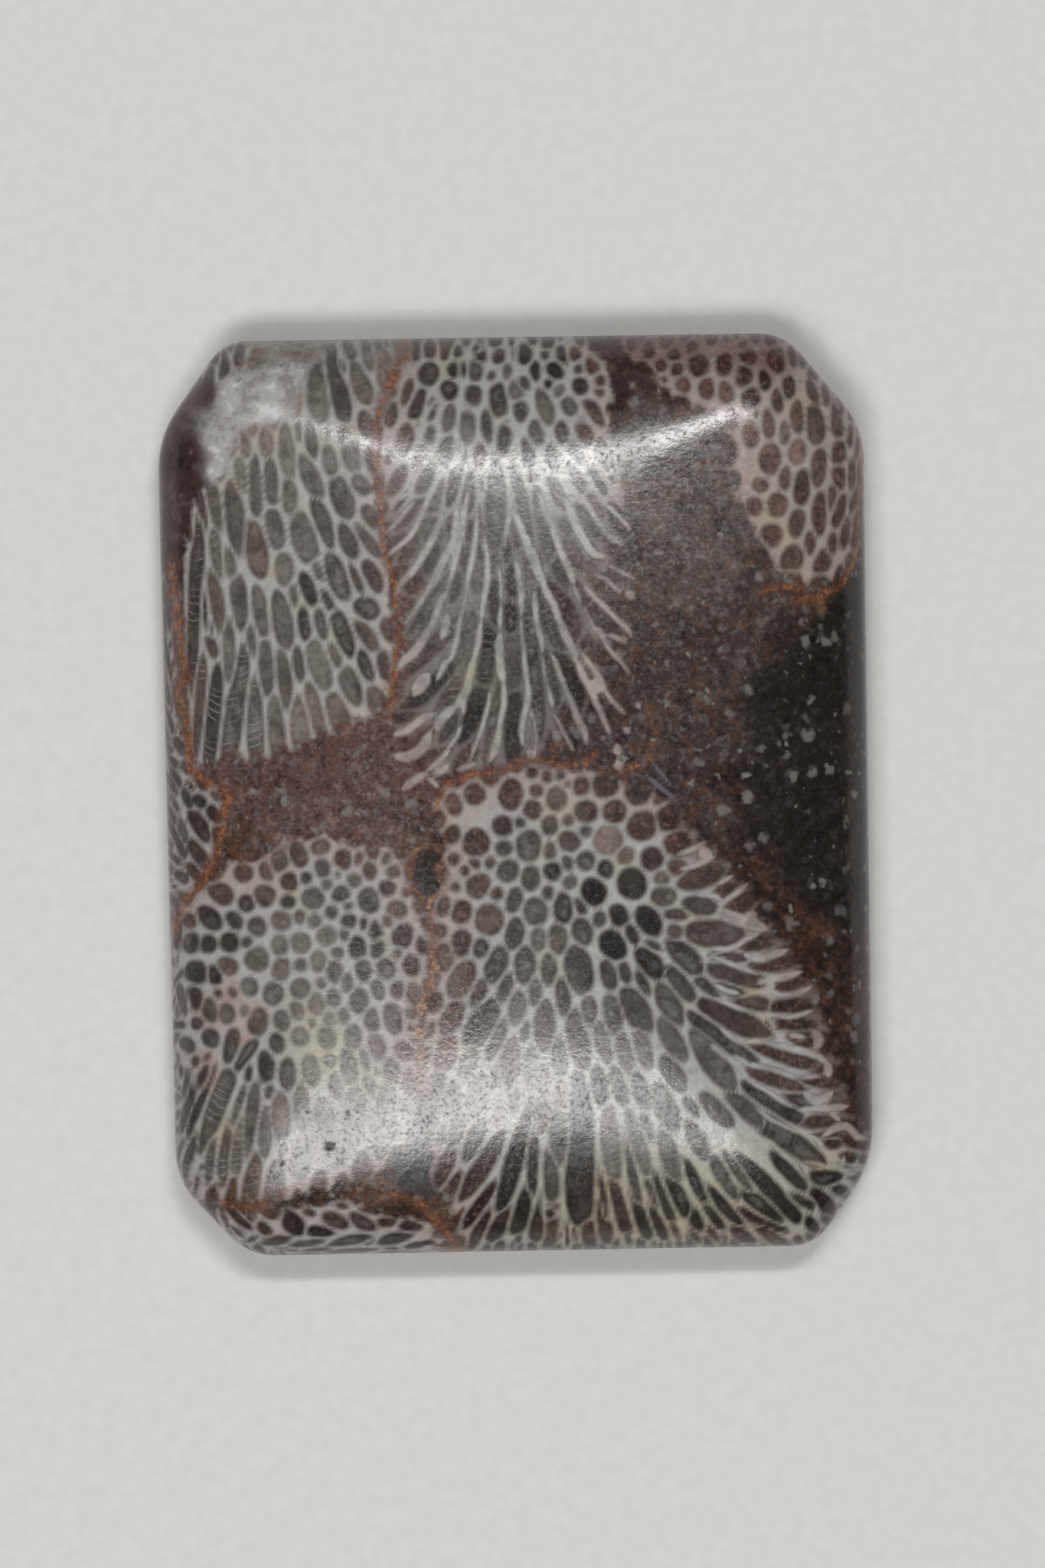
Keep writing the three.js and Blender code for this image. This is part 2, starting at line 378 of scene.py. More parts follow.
            (3.55, 12.5, 145, 2.8, 0.28, 0.4), (3.4, 11.5, 145, 3, 0.34, 0.55),
            (4.3, 10.4, 140, 2.4, 0.36, 0.6), (2.7, 10.3, 150, 2.6, 0.42, 0.5),
            (3.6, 9.2, 148, 2.6, 0.45, 0.6), (-1.5, 9.9, 184, 2.6, 0.45, 0.35),
            (-0.75, 9.9, 182, 2, 0.33, 0.5), (0.7, 9.2, 176, 4, 0.36, 0.35),
            (-0.1, 9.2, 178, 3, 0.35, 0.75), (4.6, 11.7, 150, 2, 0.45, 0.65),
            (-0.15, 7.5, 178, 2.6, 0.4, 0.8), (-0.85, 8, 183, 4.5, 0.31, 0.65),
            (2.3, 7.7, 157, 3.6, 0.52, 0.7),
        ),
    ),
    "upper right": dict(
        source=(10.0, 22.0),
        longest=6,
        wall=0.13,
        open=0.4,
        ladder=0,
        fringe=0.9,
        brown=(0.7, 0.3),
        outline=(
            (4.9, 20.6), (5.0, 19.1), (5.8, 18.6), (6.4, 18.2), (6.8, 17.5), (7.4, 16.9), (8.3, 16.6),
            (9.2, 16.2), (9.6, 15.4), (9.6, 14.4), (9.7, 13.4), (10.0, 12.7), (10.3, 11.9),
            (10.6, 11.2), (10.8, 10.4), (11.4, 10.0), (11.6, 9.3), (12.3, 9.1), (13.0, 8.9),
            (13.8, 9.1), (14.3, 9.4), (14.8, 9.9), (14.95, 12.0), (15.0, 13.6), (15.5, 14.6),
            (15.8, 16.3), (14.5, 18.5), (12.0, 20.6),
        ),
        marks=(
            (7.5, 17.6, 175, 1.2, 0.42, 0.38), (6.6, 18.5, 175, 1, 0.42, 0.7),
            (8.8, 19.75, 178, 1, 0.45, 0.8), (7.96, 19.3, 175, 1, 0.45, 0.75),
            (8.2, 18.45, 175, 1.1, 0.57, 0.75), (9.4, 18.4, 172, 1.2, 0.52, 0.75),
            (10.35, 18.75, 165, 1, 0.5, 0.7), (11.65, 18.65, 150, 1.2, 0.57, 0.7),
            (12.4, 18.8, 130, 1, 0.5, 0.8), (8.55, 17.4, 175, 1.3, 0.43, 0.48),
            (9.4, 17.2, 170, 1.3, 0.46, 0.33), (10.45, 17, 168, 1.3, 0.53, 0.78),
            (11.05, 17.7, 150, 1.2, 0.45, 0.83), (12.1, 17.4, 160, 1.3, 0.43, 0.58),
            (13.2, 17.3, 138, 1.3, 0.48, 0.53), (11.6, 16.8, 165, 1.5, 0.39, 0.53),
            (12.45, 16, 165, 1.8, 0.42, 0.43), (13.25, 15.7, 160, 1.6, 0.56, 0.43),
            (14.3, 15.85, 155, 1.6, 0.52, 0.53), (10.45, 15.4, 170, 1.4, 0.46, 0.28),
            (11.15, 15.75, 168, 1.8, 0.41, 0.38), (11.9, 15.35, 170, 1.7, 0.34, 0.23),
            (12.4, 14.6, 170, 1.3, 0.5, 0.13), (11.25, 14.3, 175, 1.4, 0.56, 0.38),
            (14.3, 14.5, 165, 1.3, 0.53, 0.43), (15.1, 14.8, 170, 1.6, 0.39, 0.48),
            (13.35, 13.85, 170, 1.7, 0.48, 0.43), (14.25, 13.5, 155, 1.3, 0.52, 0.43),
            (11.85, 13.4, 175, 1.7, 0.36, 0.33), (10.8, 13.15, 180, 1, 0.42, 0.28),
            (12.58, 13, 175, 1.7, 0.49, 0.58), (11.5, 12.3, 170, 1.1, 0.56, 0.43),
            (13.95, 12.6, 170, 1.6, 0.42, 0.43), (13.35, 11.9, 170, 1.8, 0.5, 0.53),
            (14.9, 12.4, 175, 1.4, 0.42, 0.53), (12.35, 11.5, 172, 1.5, 0.47, 0.48),
            (11.2, 10.95, 170, 1.05, 0.57, 0.48), (14.5, 11.15, 168, 1.3, 0.52, 0.53),
            (12.9, 10.65, 160, 1.4, 0.38, 0.48), (13.9, 10.6, 175, 1.6, 0.39, 0.48),
            (12.1, 9.9, 175, 1.2, 0.6, 0.53), (13.45, 9.75, 172, 1.25, 0.54, 0.48),
            (14.6, 9.65, 170, 1.3, 0.43, 0.53), (6.1, 19.2, 178, 1.2, 0.46, 0.75),
            (7.15, 19, 178, 1, 0.47, 0.75), (10.5, 12.25, 170, 1, 0.48, 0.38),
        ),
    ),
    "left edge": dict(
        source=(-16.0, 12.0),
        longest=6,
        wall=0.08,
        open=0.2,
        ladder=0.3,
        fringe=0.9,
        brown=(0.15, 0.3),
        outline=(
            (-16.5, 10.4), (-15.2, 9.9), (-15.0, 8.5), (-14.85, 7.3), (-14.8, 6.0), (-15.0, 4.8),
            (-14.8, 3.6), (-14.4, 2.7), (-14.35, 1.6), (-13.9, 1.0), (-12.9, 0.3), (-12.9, -0.9),
            (-13.2, -2.1), (-13.6, -3.1), (-14.3, -3.8), (-15.0, -4.7), (-16.5, -5.9),
        ),
        marks=(
            (-15.3, 8.5, 178, 3.2, 0.34, 0.9), (-15.35, 6.8, 178, 3.4, 0.3, 0.9),
            (-15.2, 5, 178, 3, 0.31, 0.9), (-15.1, 3.5, 178, 2, 0.33, 0.85),
            (-14.67, 2.35, 170, 1.25, 0.4, 0.8), (-14.4, 1.4, 165, 1.3, 0.3, 0.7),
            (-14.85, 0.95, 172, 1.6, 0.34, 0.8), (-14.35, 0.1, 172, 1.7, 0.34, 0.75),
            (-15, -0.1, 175, 1.6, 0.3, 0.6), (-13.8, -0.1, 140, 1.2, 0.38, 0.75),
            (-13.8, -1.1, 165, 1.7, 0.45, 0.75), (-14.65, -1.3, 175, 2, 0.34, 0.55),
            (-13.9, -2.4, 155, 2, 0.4, 0.7), (-14.75, -3.3, 150, 1.3, 0.36, 0.75),
        ),
    ),
    "lower left": dict(
        source=(-8.5, -5.0),
        longest=7,
        wall=0.115,
        open=0.6,
        ladder=1,
        fringe=0.9,
        brown=(0.08, 0.7),
        outline=(
            (-16.5, -6.4), (-15.3, -5.6), (-14.8, -4.8), (-14.1, -4.2), (-13.3, -3.7), (-12.7, -3.0),
            (-12.0, -2.8), (-11.2, -2.9), (-10.7, -2.4), (-10.0, -2.0), (-9.3, -1.9), (-8.3, -1.7),
            (-7.6, -2.0), (-6.8, -2.2), (-6.0, -2.2), (-5.3, -2.6), (-4.9, -3.4), (-4.8, -4.5),
            (-4.2, -5.5), (-3.95, -6.9), (-4.3, -8.5), (-4.6, -10.0), (-4.6, -12.0), (-4.6, -13.6),
            (-5.0, -15.0), (-6.5, -16.3), (-8.5, -16.9), (-10.5, -17.2), (-12.3, -17.2),
            (-13.4, -17.6), (-14.6, -17.6), (-16.5, -17.4),
        ),
        marks=(
            (-9.53, -2.45, 180, 1.2, 0.54, 0.59), (-8.57, -2.1, 180, 1, 0.5, 0.44),
            (-7.5, -2.7, 180, 1, 0.54, 0.59), (-6.47, -3.08, 180, 1.3, 0.45, 0.49),
            (-5.4, -3.2, 180, 1, 0.42, 0.49), (-8.44, -3.1, 180, 1.3, 0.42, 0.54),
            (-9.2, -3.5, 180, 1, 0.38, 0.64), (-9.93, -3.6, 180, 1.1, 0.5, 0.69),
            (-10.9, -3.15, 180, 1.3, 0.39, 0.54), (-11.9, -3.2, 170, 1, 0.47, 0.54),
            (-12.9, -4.1, 150, 1.25, 0.52, 0.64), (-7.1, -3.6, 180, 1, 0.42, 0.34),
            (-5.66, -3.97, 180, 1, 0.45, 0.59), (-11, -4.2, 170, 1, 0.55, 0.59),
            (-11.8, -4.55, 165, 1, 0.45, 0.69), (-10, -4.5, 180, 1, 0.42, 0.69),
            (-8.9, -4.35, 180, 1, 0.6, 0.44), (-7.7, -4.2, 180, 1, 0.5, 0.49),
            (-6.5, -4.5, 180, 1.2, 0.55, 0.54), (-5.3, -4.9, 180, 1, 0.5, 0.44),
            (-7.4, -4.72, 180, 1, 0.32, 0.54), (-8.1, -4.96, 180, 1, 0.4, 0.54),
            (-8.28, -3.75, 180, 1, 0.37, 0.44), (-13.4, -5.2, 150, 1.3, 0.52, 0.69),
            (-12.33, -5.3, 165, 1.2, 0.44, 0.59), (-11.4, -5.55, 180, 1, 0.5, 0.49),
            (-10.27, -5.3, 180, 1, 0.52, 0.29), (-9.5, -5.15, 180, 1, 0.39, 0.39),
            (-8.87, -5.33, 180, 1, 0.4, 0.29), (-7.37, -5.37, 180, 1, 0.47, 0.59),
            (-6.7, -5.5, 180, 1.3, 0.32, 0.64), (-6.25, -5.8, 180, 1.25, 0.44, 0.64),
            (-5.7, -5.4, 180, 1, 0.34, 0.44), (-5.07, -6.07, 200, 1.2, 0.54, 0.59),
            (-8.3, -6, 180, 1, 0.54, 0.24), (-7.57, -5.97, 180, 1.2, 0.34, 0.59),
            (-9.5, -6.3, 180, 1, 0.54, 0.24), (-10.35, -6.4, 200, 1.2, 0.45, 0.24),
            (-7, -6.5, 180, 1.2, 0.52, 0.69), (-6.17, -6.6, 200, 1.2, 0.45, 0.64),
            (-13.55, -6.25, 95, 1.1, 0.48, 0.74), (-12.55, -6.2, 95, 1.1, 0.53, 0.74),
            (-11.85, -6.2, 180, 1, 0.37, 0.59), (-14.3, -6.2, 120, 1, 0.56, 0.59),
            (-14.4, -5.3, 150, 1, 0.45, 0.59), (-11.4, -6.95, 190, 1, 0.61, 0.29),
            (-12.7, -7.25, 120, 1.1, 0.48, 0.39), (-14.1, -7.55, 110, 1.05, 0.62, 0.69),
            (-10.35, -7.4, 210, 1.3, 0.47, 0.29), (-9.5, -7.2, 180, 1, 0.37, 0.24),
            (-8.7, -7.1, 190, 1.2, 0.45, 0.24), (-7.9, -6.7, 180, 1, 0.37, 0.34),
            (-8.03, -7.55, 180, 1.3, 0.47, 0.39), (-6.75, -7.47, 178, 1.4, 0.44, 0.49),
            (-5.8, -7.4, 175, 1.2, 0.5, 0.49), (-4.7, -7.3, 175, 1.2, 0.47, 0.54),
            (-5.3, -6.8, 180, 1, 0.32, 0.44), (-7.5, -8.06, 180, 1.4, 0.39, 0.34),
            (-10.7, -8.45, 210, 1.1, 0.52, 0.39), (-9.5, -8.3, 195, 1, 0.54, 0.29),
            (-8.6, -8.05, 185, 1, 0.34, 0.29), (-6.17, -8.3, 176, 1.35, 0.4, 0.44),
            (-5.3, -8.35, 175, 1.1, 0.44, 0.49), (-7, -8.8, 178, 1.3, 0.52, 0.59),
            (-8.1, -8.7, 182, 1.3, 0.42, 0.34), (-11.75, -8.15, 200, 1, 0.45, 0.34),
            (-14.06, -9.7, 180, 1, 0.39, 0.64), (-14.95, -9.8, 180, 1, 0.42, 0.69),
            (-12.8, -9.3, 195, 1, 0.5, 0.44), (-13.5, -10.35, 200, 1, 0.49, 0.59),
            (-14.6, -10.7, 190, 1, 0.5, 0.54), (-12.6, -10.8, 200, 1.8, 0.45, 0.59),
            (-12.05, -11.2, 222, 2.3, 0.4, 0.69), (-11.1, -11.7, 188, 1.6, 0.5, 0.64),
            (-10.2, -12, 190, 1.6, 0.47, 0.54), (-14.2, -11.4, 200, 1, 0.37, 0.59),
            (-14.9, -11.7, 190, 1.3, 0.39, 0.69), (-11.4, -9.7, 210, 1.2, 0.54, 0.39),
            (-10.35, -9.65, 195, 1.15, 0.47, 0.44), (-9.6, -10.3, 190, 1, 0.47, 0.29),
            (-8.4, -10.3, 182, 1.3, 0.47, 0.24), (-7.7, -9.45, 180, 1.3, 0.36, 0.44),
            (-6.47, -9.65, 177, 1.5, 0.42, 0.54), (-5.5, -9.6, 172, 1.4, 0.52, 0.49),
            (-4.75, -9.35, 170, 1, 0.39, 0.39), (-7.25, -10.4, 180, 1.4, 0.47, 0.39),
            (-6.25, -10.9, 170, 1.6, 0.47, 0.39), (-7.45, -11.7, 180, 1.9, 0.48, 0.44),
            (-6.75, -11.4, 165, 2, 0.34, 0.34), (-8.3, -11.35, 180, 1, 0.34, 0.29),
            (-8.05, -12.5, 180, 1.6, 0.37, 0.39), (-9.15, -11.8, 185, 1.5, 0.45, 0.24),
            (-5.05, -11, 170, 1, 0.54, 0.34), (-13.4, -13.6, 207, 4, 0.54, 0.54),
            (-14.4, -13.9, 207, 3.6, 0.42, 0.69), (-14, -12.2, 215, 1.7, 0.42, 0.64),
            (-14.7, -12.5, 210, 1.5, 0.42, 0.54), (-12.4, -13.6, 203, 4.4, 0.3, 0.44),
            (-11.9, -14.2, 192, 4.3, 0.47, 0.44), (-12.95, -15.7, 193, 4.3, 0.4, 0.54),
            (-13.7, -16.1, 190, 4, 0.32, 0.49), (-10.55, -13.8, 184, 2.3, 0.52, 0.19),
            (-9.6, -13.4, 182, 2.5, 0.4, 0.24), (-10.95, -12.7, 190, 1.5, 0.32, 0.54),
            (-11.85, -11.9, 195, 1.7, 0.3, 0.64), (-8.55, -13.8, 180, 1.5, 0.52, 0.24),
        ),
    ),
    "lower right": dict(
        source=(1.5, -1.5),
        longest=7,
        wall=0.105,
        open=0.6,
        ladder=0.25,
        fringe=1.7,
        brown=(0.05, 0.95),
        outline=(
            (-3.6, -0.7), (-3.2, 0.1), (-2.7, 0.5), (-1.8, 0.65), (-0.8, 0.6), (0.2, 0.95),
            (1.1, 1.1), (2.2, 0.95), (3.3, 0.85), (4.3, 0.3), (5.2, 0.05), (6.0, -0.3), (6.9, -0.9),
            (7.2, -1.5), (8.1, -2.1), (8.8, -3.0), (9.3, -3.6), (9.9, -4.3), (10.5, -5.3),
            (10.9, -6.0), (11.6, -6.9), (12.1, -7.9), (12.7, -8.7), (12.7, -9.8), (13.3, -10.5),
            (13.3, -11.5), (13.8, -12.3), (14.1, -13.6), (14.4, -14.6), (15.2, -15.0), (16.5, -15.2),
            (16.5, -21.0), (-2.6, -21.0), (-2.7, -19.7), (-2.9, -18.6), (-3.2, -17.6), (-4.0, -16.6),
            (-4.2, -14.0), (-4.15, -12.0), (-4.1, -10.0), (-3.9, -8.6), (-3.4, -7.2), (-3.6, -5.6),
            (-3.6, -4.5), (-3.0, -3.6), (-3.1, -2.6), (-2.9, -1.9), (-3.3, -1.4),
        ),
        marks=(
            (-1.85, 0.05, 180, 1, 0.52, 0.6), (-0.25, -0.04, 180, 1.3, 0.57, 0.6),
            (-2.75, -0.4, 180, 1.3, 0.42, 0.45), (0.85, 0.1, 180, 1, 0.37, 0.5),
            (1.68, -0.23, 180, 1.2, 0.51, 0.5), (1.87, 0.75, 180, 1, 0.34, 0.5),
            (0.7, 0.95, 180, 1, 0.39, 0.5), (2.78, 0.3, 180, 1, 0.49, 0.55), (3.8, 0.35, 170, 1, 0.68, 0.6),
            (5.25, 0, 120, 1, 0.68, 0.6), (0.65, -0.7, 180, 1, 0.51, 0.55),
            (2.95, -0.85, 180, 1, 0.58, 0.65), (4.2, -0.85, 170, 1, 0.58, 0.6),
            (5.4, -1.45, 70, 1.15, 0.68, 0.6), (-0.6, -1.4, 180, 1, 0.53, 0.75),
            (1.4, -1.4, 180, 1.15, 0.44, 0.55), (0.1, -1.25, 180, 1, 0.34, 0.6),
            (2.2, -1.2, 180, 1, 0.34, 0.5), (-1.8, -2.15, 180, 1.05, 0.67, 0.65),
            (-0.6, -2.35, 180, 1, 0.45, 0.45), (0.45, -2.25, 180, 1.2, 0.64, 0.5),
            (2.2, -2.1, 180, 1, 0.57, 0.5), (2.9, -1.65, 180, 1, 0.36, 0.45),
            (3.9, -2.1, 150, 1, 0.7, 0.15), (4.6, -2.75, 150, 1, 0.44, 0.35),
            (1.4, -2.5, 180, 1.3, 0.37, 0.4), (2.1, -3.05, 170, 1.4, 0.34, 0.45),
            (2.9, -2.95, 175, 1, 0.49, 0.55), (-0.45, -3.3, 180, 1, 0.58, 0.45),
            (-1.25, -2.95, 180, 1, 0.37, 0.55), (-2.25, -3.25, 180, 1, 0.34, 0.6),
            (-2.75, -2.8, 180, 1, 0.34, 0.5), (1.5, -3.35, 175, 1, 0.51, 0.75),
            (0.5, -3.65, 180, 1.2, 0.51, 0.45), (2.2, -3.85, 175, 1, 0.39, 0.5),
            (3.75, -3.3, 165, 1.15, 0.42, 0.75), (-1.75, -3.9, 200, 1.1, 0.59, 0.5),
            (4.9, -3.95, 150, 1.1, 0.7, 0.8), (3.2, -4.3, 160, 1.1, 0.63, 0.95),
            (-0.2, -4.6, 195, 1.5, 0.42, 0.55), (-0.95, -4.3, 190, 1, 0.37, 0.5),
            (1.25, -4.35, 178, 1.2, 0.34, 0.5), (1.9, -5, 175, 1.5, 0.51, 0.75),
            (0.7, -5.1, 180, 1.15, 0.61, 0.5), (-2.5, -5.05, 190, 1, 0.57, 0.65),
            (-1.3, -5.4, 190, 1.05, 0.71, 0.4), (2.65, -4.95, 150, 1.6, 0.31, 0.75),
            (3.45, -5.5, 160, 1, 0.42, 0.7), (4.3, -5.4, 145, 1.2, 0.5, 0.9),
            (5.6, -5.65, 140, 1.3, 0.64, 0.85), (2.7, -5.95, 165, 1.3, 0.54, 0.55),
            (1.65, -6.3, 178, 1.5, 0.49, 0.45), (0.8, -6.3, 180, 1.5, 0.42, 0.35),
            (-0.2, -6.05, 190, 1.7, 0.47, 0.6), (-2.55, -6.45, 200, 1.3, 0.54, 0.6),
            (-1.7, -6.65, 195, 1.15, 0.44, 0.65), (-3.5, -5.9, 200, 1, 0.44, 0.55),
            (4.05, -6.6, 150, 1.3, 0.64, 0.95), (4.85, -6.15, 148, 1.7, 0.39, 0.85),
            (5.7, -6.65, 125, 1.5, 0.34, 0.6), (-1.03, -7.4, 200, 1.7, 0.54, 0.6),
            (0.22, -7.4, 180, 1.6, 0.57, 0.5), (1.22, -7.6, 180, 1.7, 0.44, 0.5),
            (2.5, -7.65, 168, 1.7, 0.67, 0.7), (3.85, -7.9, 165, 1.8, 0.42, 0.6),
            (4.5, -7.8, 160, 1.7, 0.37, 0.7), (-2.55, -8, 205, 1.55, 0.64, 0.5),
            (-1.8, -8.55, 205, 1.7, 0.42, 0.6), (-0.7, -8.4, 195, 2, 0.39, 0.5),
            (0.62, -8.5, 182, 1.9, 0.36, 0.4), (1.85, -8.8, 172, 2.3, 0.39, 0.65),
            (-3.75, -8.9, 200, 1.1, 0.5, 0.55), (-3, -9.6, 205, 1.9, 0.51, 0.5),
            (-1.7, -9.9, 210, 2, 0.67, 0.6), (-1.05, -10.5, 203, 2.7, 0.37, 0.55),
            (-0.18, -9.25, 190, 1.6, 0.49, 0.45), (1, -10.05, 180, 2.2, 0.52, 0.5),
            (2.45, -10.6, 170, 2.7, 0.51, 0.45), (2.95, -9.5, 172, 1.8, 0.42, 0.45),
            (4, -9.7, 172, 2, 0.51, 0.45), (4.95, -9.45, 150, 1.75, 0.69, 0.6),
            (3.5, -10.65, 165, 2.7, 0.39, 0.35), (-0.5, -11.5, 188, 2, 0.51, 0.35),
            (0.4, -11.7, 182, 2.2, 0.39, 0.3), (1.6, -11.45, 178, 2.3, 0.42, 0.3),
            (-2.3, -11.5, 195, 2.3, 0.44, 0.25), (-3.3, -11.1, 195, 1.5, 0.58, 0.35),
            (4.4, -11.1, 165, 3, 0.39, 0.35), (5.8, -2.95, 120, 1, 0.59, 0.65),
            (6.9, -2.3, 100, 1, 0.68, 0.65), (6.2, -3.75, 110, 1, 0.44, 0.35),
            (6.25, -4.55, 100, 1.1, 0.56, 0.45), (7.9, -3.7, 75, 1.9, 0.59, 0.6),
            (9.1, -4.2, 60, 2, 0.39, 0.65), (7.8, -5, 100, 1.7, 0.49, 0.55),
            (6.75, -5.35, 95, 1.7, 0.36, 0.6), (9.6, -4.95, 65, 2, 0.47, 0.7),
            (8.4, -6.2, 95, 2.1, 0.67, 0.6), (6.7, -6.1, 120, 1.1, 0.44, 0.45),
            (7.15, -7.2, 138, 2.2, 0.57, 0.65), (5.6, -7.4, 143, 1.7, 0.59, 0.85),
            (5.3, -8.25, 150, 2, 0.36, 0.65), (10.4, -6.6, 75, 2.5, 0.39, 0.65),
            (9.1, -7.25, 97, 2.4, 0.36, 0.6), (11.1, -7.5, 82, 3.6, 0.39, 0.65),
            (9.3, -8.05, 105, 2.4, 0.57, 0.65), (6.9, -8.35, 140, 2, 0.51, 0.6),
            (8.1, -8.5, 130, 2.7, 0.37, 0.6), (11.7, -8.5, 75, 2.2, 0.39, 0.7),
            (6.4, -9.15, 148, 2, 0.57, 0.55), (10, -9.25, 100, 3, 0.42, 0.6),
            (11.5, -9.4, 90, 3.2, 0.37, 0.85), (11.7, -10.2, 95, 3.2, 0.34, 0.75),
            (9.3, -9.95, 118, 2.9, 0.64, 0.7), (8.7, -10.8, 127, 4.8, 0.42, 0.65),
            (8.3, -11.7, 145, 2.8, 0.59, 0.4), (6.5, -10.7, 150, 2.2, 0.49, 0.4),
            (5.2, -10.9, 165, 2.7, 0.39, 0.35), (11.5, -11.6, 112, 3.9, 0.42, 0.65),
            (-2, -16.4, 212, 3.4, 0.47, 0.8), (-0.65, -16.9, 197, 4.8, 0.51, 1),
            (-1.3, -19, 205, 2, 0.53, 0.95), (-2.1, -18.1, 213, 3, 0.39, 1),
            (0.35, -16.5, 182, 4.8, 0.36, 0.85), (1.15, -17.1, 180, 3.4, 0.44, 0.7),
            (1.1, -18.3, 180, 1.2, 0.5, 1), (2.45, -17.3, 180, 3.9, 0.78, 1),
            (3.8, -15.6, 177, 3.3, 0.51, 0.45), (3.45, -18.4, 175, 4, 0.36, 1),
            (4.2, -18.5, 166, 4, 0.39, 0.9), (4.85, -17.2, 170, 5, 0.34, 0.75),
            (5.1, -15.8, 165, 3.9, 0.42, 0.4), (5.2, -18.9, 165, 3, 0.39, 0.95),
            (6, -17.8, 160, 3.9, 0.37, 0.85), (6.4, -16.2, 165, 2.9, 0.47, 0.5),
            (6.85, -17.8, 155, 3, 0.49, 1), (7.45, -18.7, 160, 2.3, 0.44, 1),
            (7.6, -17.5, 155, 3.3, 0.39, 0.95), (11.3, -12.7, 112, 3.5, 0.49, 0.6),
            (13, -12.8, 97, 3.5, 0.37, 0.75), (11.2, -13.8, 122, 3.7, 0.49, 0.7),
            (12.9, -14.5, 95, 1.9, 0.51, 0.65), (11.6, -15.3, 127, 3.8, 0.59, 0.7),
            (10, -14.1, 130, 3.3, 0.44, 0.55), (13.6, -15.35, 95, 1.8, 0.42, 0.8),
            (14.3, -16.1, 110, 1.1, 0.47, 0.8), (13.1, -16.95, 97, 2, 0.47, 1),
            (11.8, -16.8, 135, 2.6, 0.47, 0.85), (11.1, -17.9, 138, 3.6, 0.51, 1),
            (12.2, -18, 120, 2.5, 0.31, 0.95), (13.35, -18.5, 140, 1, 0.53, 1),
            (13.9, -17.6, 120, 1, 0.39, 1), (10.4, -18.9, 128, 2.4, 0.47, 1),
            (12.7, -19.2, 140, 1, 0.42, 1), (8.9, -18.4, 140, 3.2, 0.39, 1),
            (8.1, -18.4, 148, 4, 0.36, 0.95), (8.25, -19.5, 150, 1.5, 0.39, 1),
            (9.6, -19.6, 150, 1, 0.58, 1), (7.5, -19.6, 160, 1, 0.44, 1), (8.8, -17, 150, 3.5, 0.34, 0.65),
            (9.65, -17.2, 148, 4, 0.31, 0.65),
        ),
    ),
    "bottom strip": dict(
        source=(-9.0, -16.0),
        longest=6,
        wall=0.12,
        open=0.4,
        ladder=0,
        fringe=0.9,
        brown=(0.2, 0.4),
        outline=(
            (-14.3, -18.1), (-13.4, -18.1), (-12.6, -17.9), (-11.8, -18.2), (-11.0, -18.3),
            (-10.2, -17.8), (-9.2, -17.9), (-8.2, -17.6), (-7.3, -17.7), (-6.6, -18.3),
            (-5.4, -18.5), (-4.6, -18.4), (-4.0, -18.9), (-3.5, -19.6), (-3.3, -21.0), (-14.0, -21.0),
        ),
        marks=(
            (-12.3, -18.4, 145, 2.6, 0.33, 0.85), (-11.4, -18.75, 160, 1.2, 0.42, 0.75),
            (-11.85, -19.2, 110, 1.2, 0.35, 1), (-10.9, -19.3, 105, 1.6, 0.44, 0.7),
            (-10, -18.6, 160, 1.3, 0.55, 0.9), (-9, -18.9, 115, 1.5, 0.42, 1),
            (-8.2, -18.4, 135, 1.3, 0.48, 0.65), (-7.6, -19.35, 98, 1.7, 0.46, 0.8),
            (-6.75, -19.45, 100, 1.1, 0.3, 1), (-7, -18.5, 135, 1.5, 0.46, 0.75),
            (-5.8, -19.3, 98, 1.4, 0.5, 1), (-5, -18.7, 120, 1.2, 0.42, 0.85),
            (-4.6, -19.6, 100, 1.4, 0.4, 1), (-3.7, -19.65, 110, 1.3, 0.36, 1),
            (-9.2, -19.75, 95, 2.2, 0.36, 0.75),
        ),
    ),
    "upper left corner": dict(
        source=(-12.0, 17.0),
        longest=6,
        wall=0.13,
        open=0.2,
        ladder=0.3,
        fringe=0.9,
        brown=(0.1, 0.3),
        outline=((-13.6, 18.2), (-12.7, 18.2), (-11.9, 18.5), (-11.4, 19.1), (-11.2, 20.6), (-14.2, 20.6)),
        marks=(
            (-12.4, 18.8, 185, 2.2, 0.46, 0.6), (-11.8, 19.4, 185, 2.2, 0.46, 0.5),
        ),
    ),
}

# What the tubes hold and what their walls are, from pale to dark: clean chalcedony, and mud that
# seeped in from outside.
CLEAN_FILLING = ((130, 127, 118), (30, 28, 28))
MUDDY_FILLING = ((126, 100, 92), (40, 27, 24))
CLEAN_WALL = (166, 167, 163)
MUDDY_WALL = (160, 143, 138)
DARKNESS_SPREAD = 0.13
MUD_SPREAD = 0.12
OPEN_EDGE = (0.05, 0.5)  # tubes whose middles lie this deep in the colony go from open to filled
CLEAN_START = (0.4, 0.2)  # how deep the staining of tubes and of walls begins to fade
WALL_FRINGE = 1.1  # how far in from the edge the walls are stained
PARTITIONED = 0.45  # the share of the tubes that have strong cross partitions,
PARTITIONED_LENGTH = 4.4  # as all that are cut longer than this have,
FAINT_PARTITIONS = 0.15  # and how strong they are in the rest
PARTITION_LENGTHS = (1.9, 3.8)  # partitions come in as tubes are cut this many times longer than wide
PARTITION_DEPTHS = (0.36, 0.46)  # and as their middles are this deep

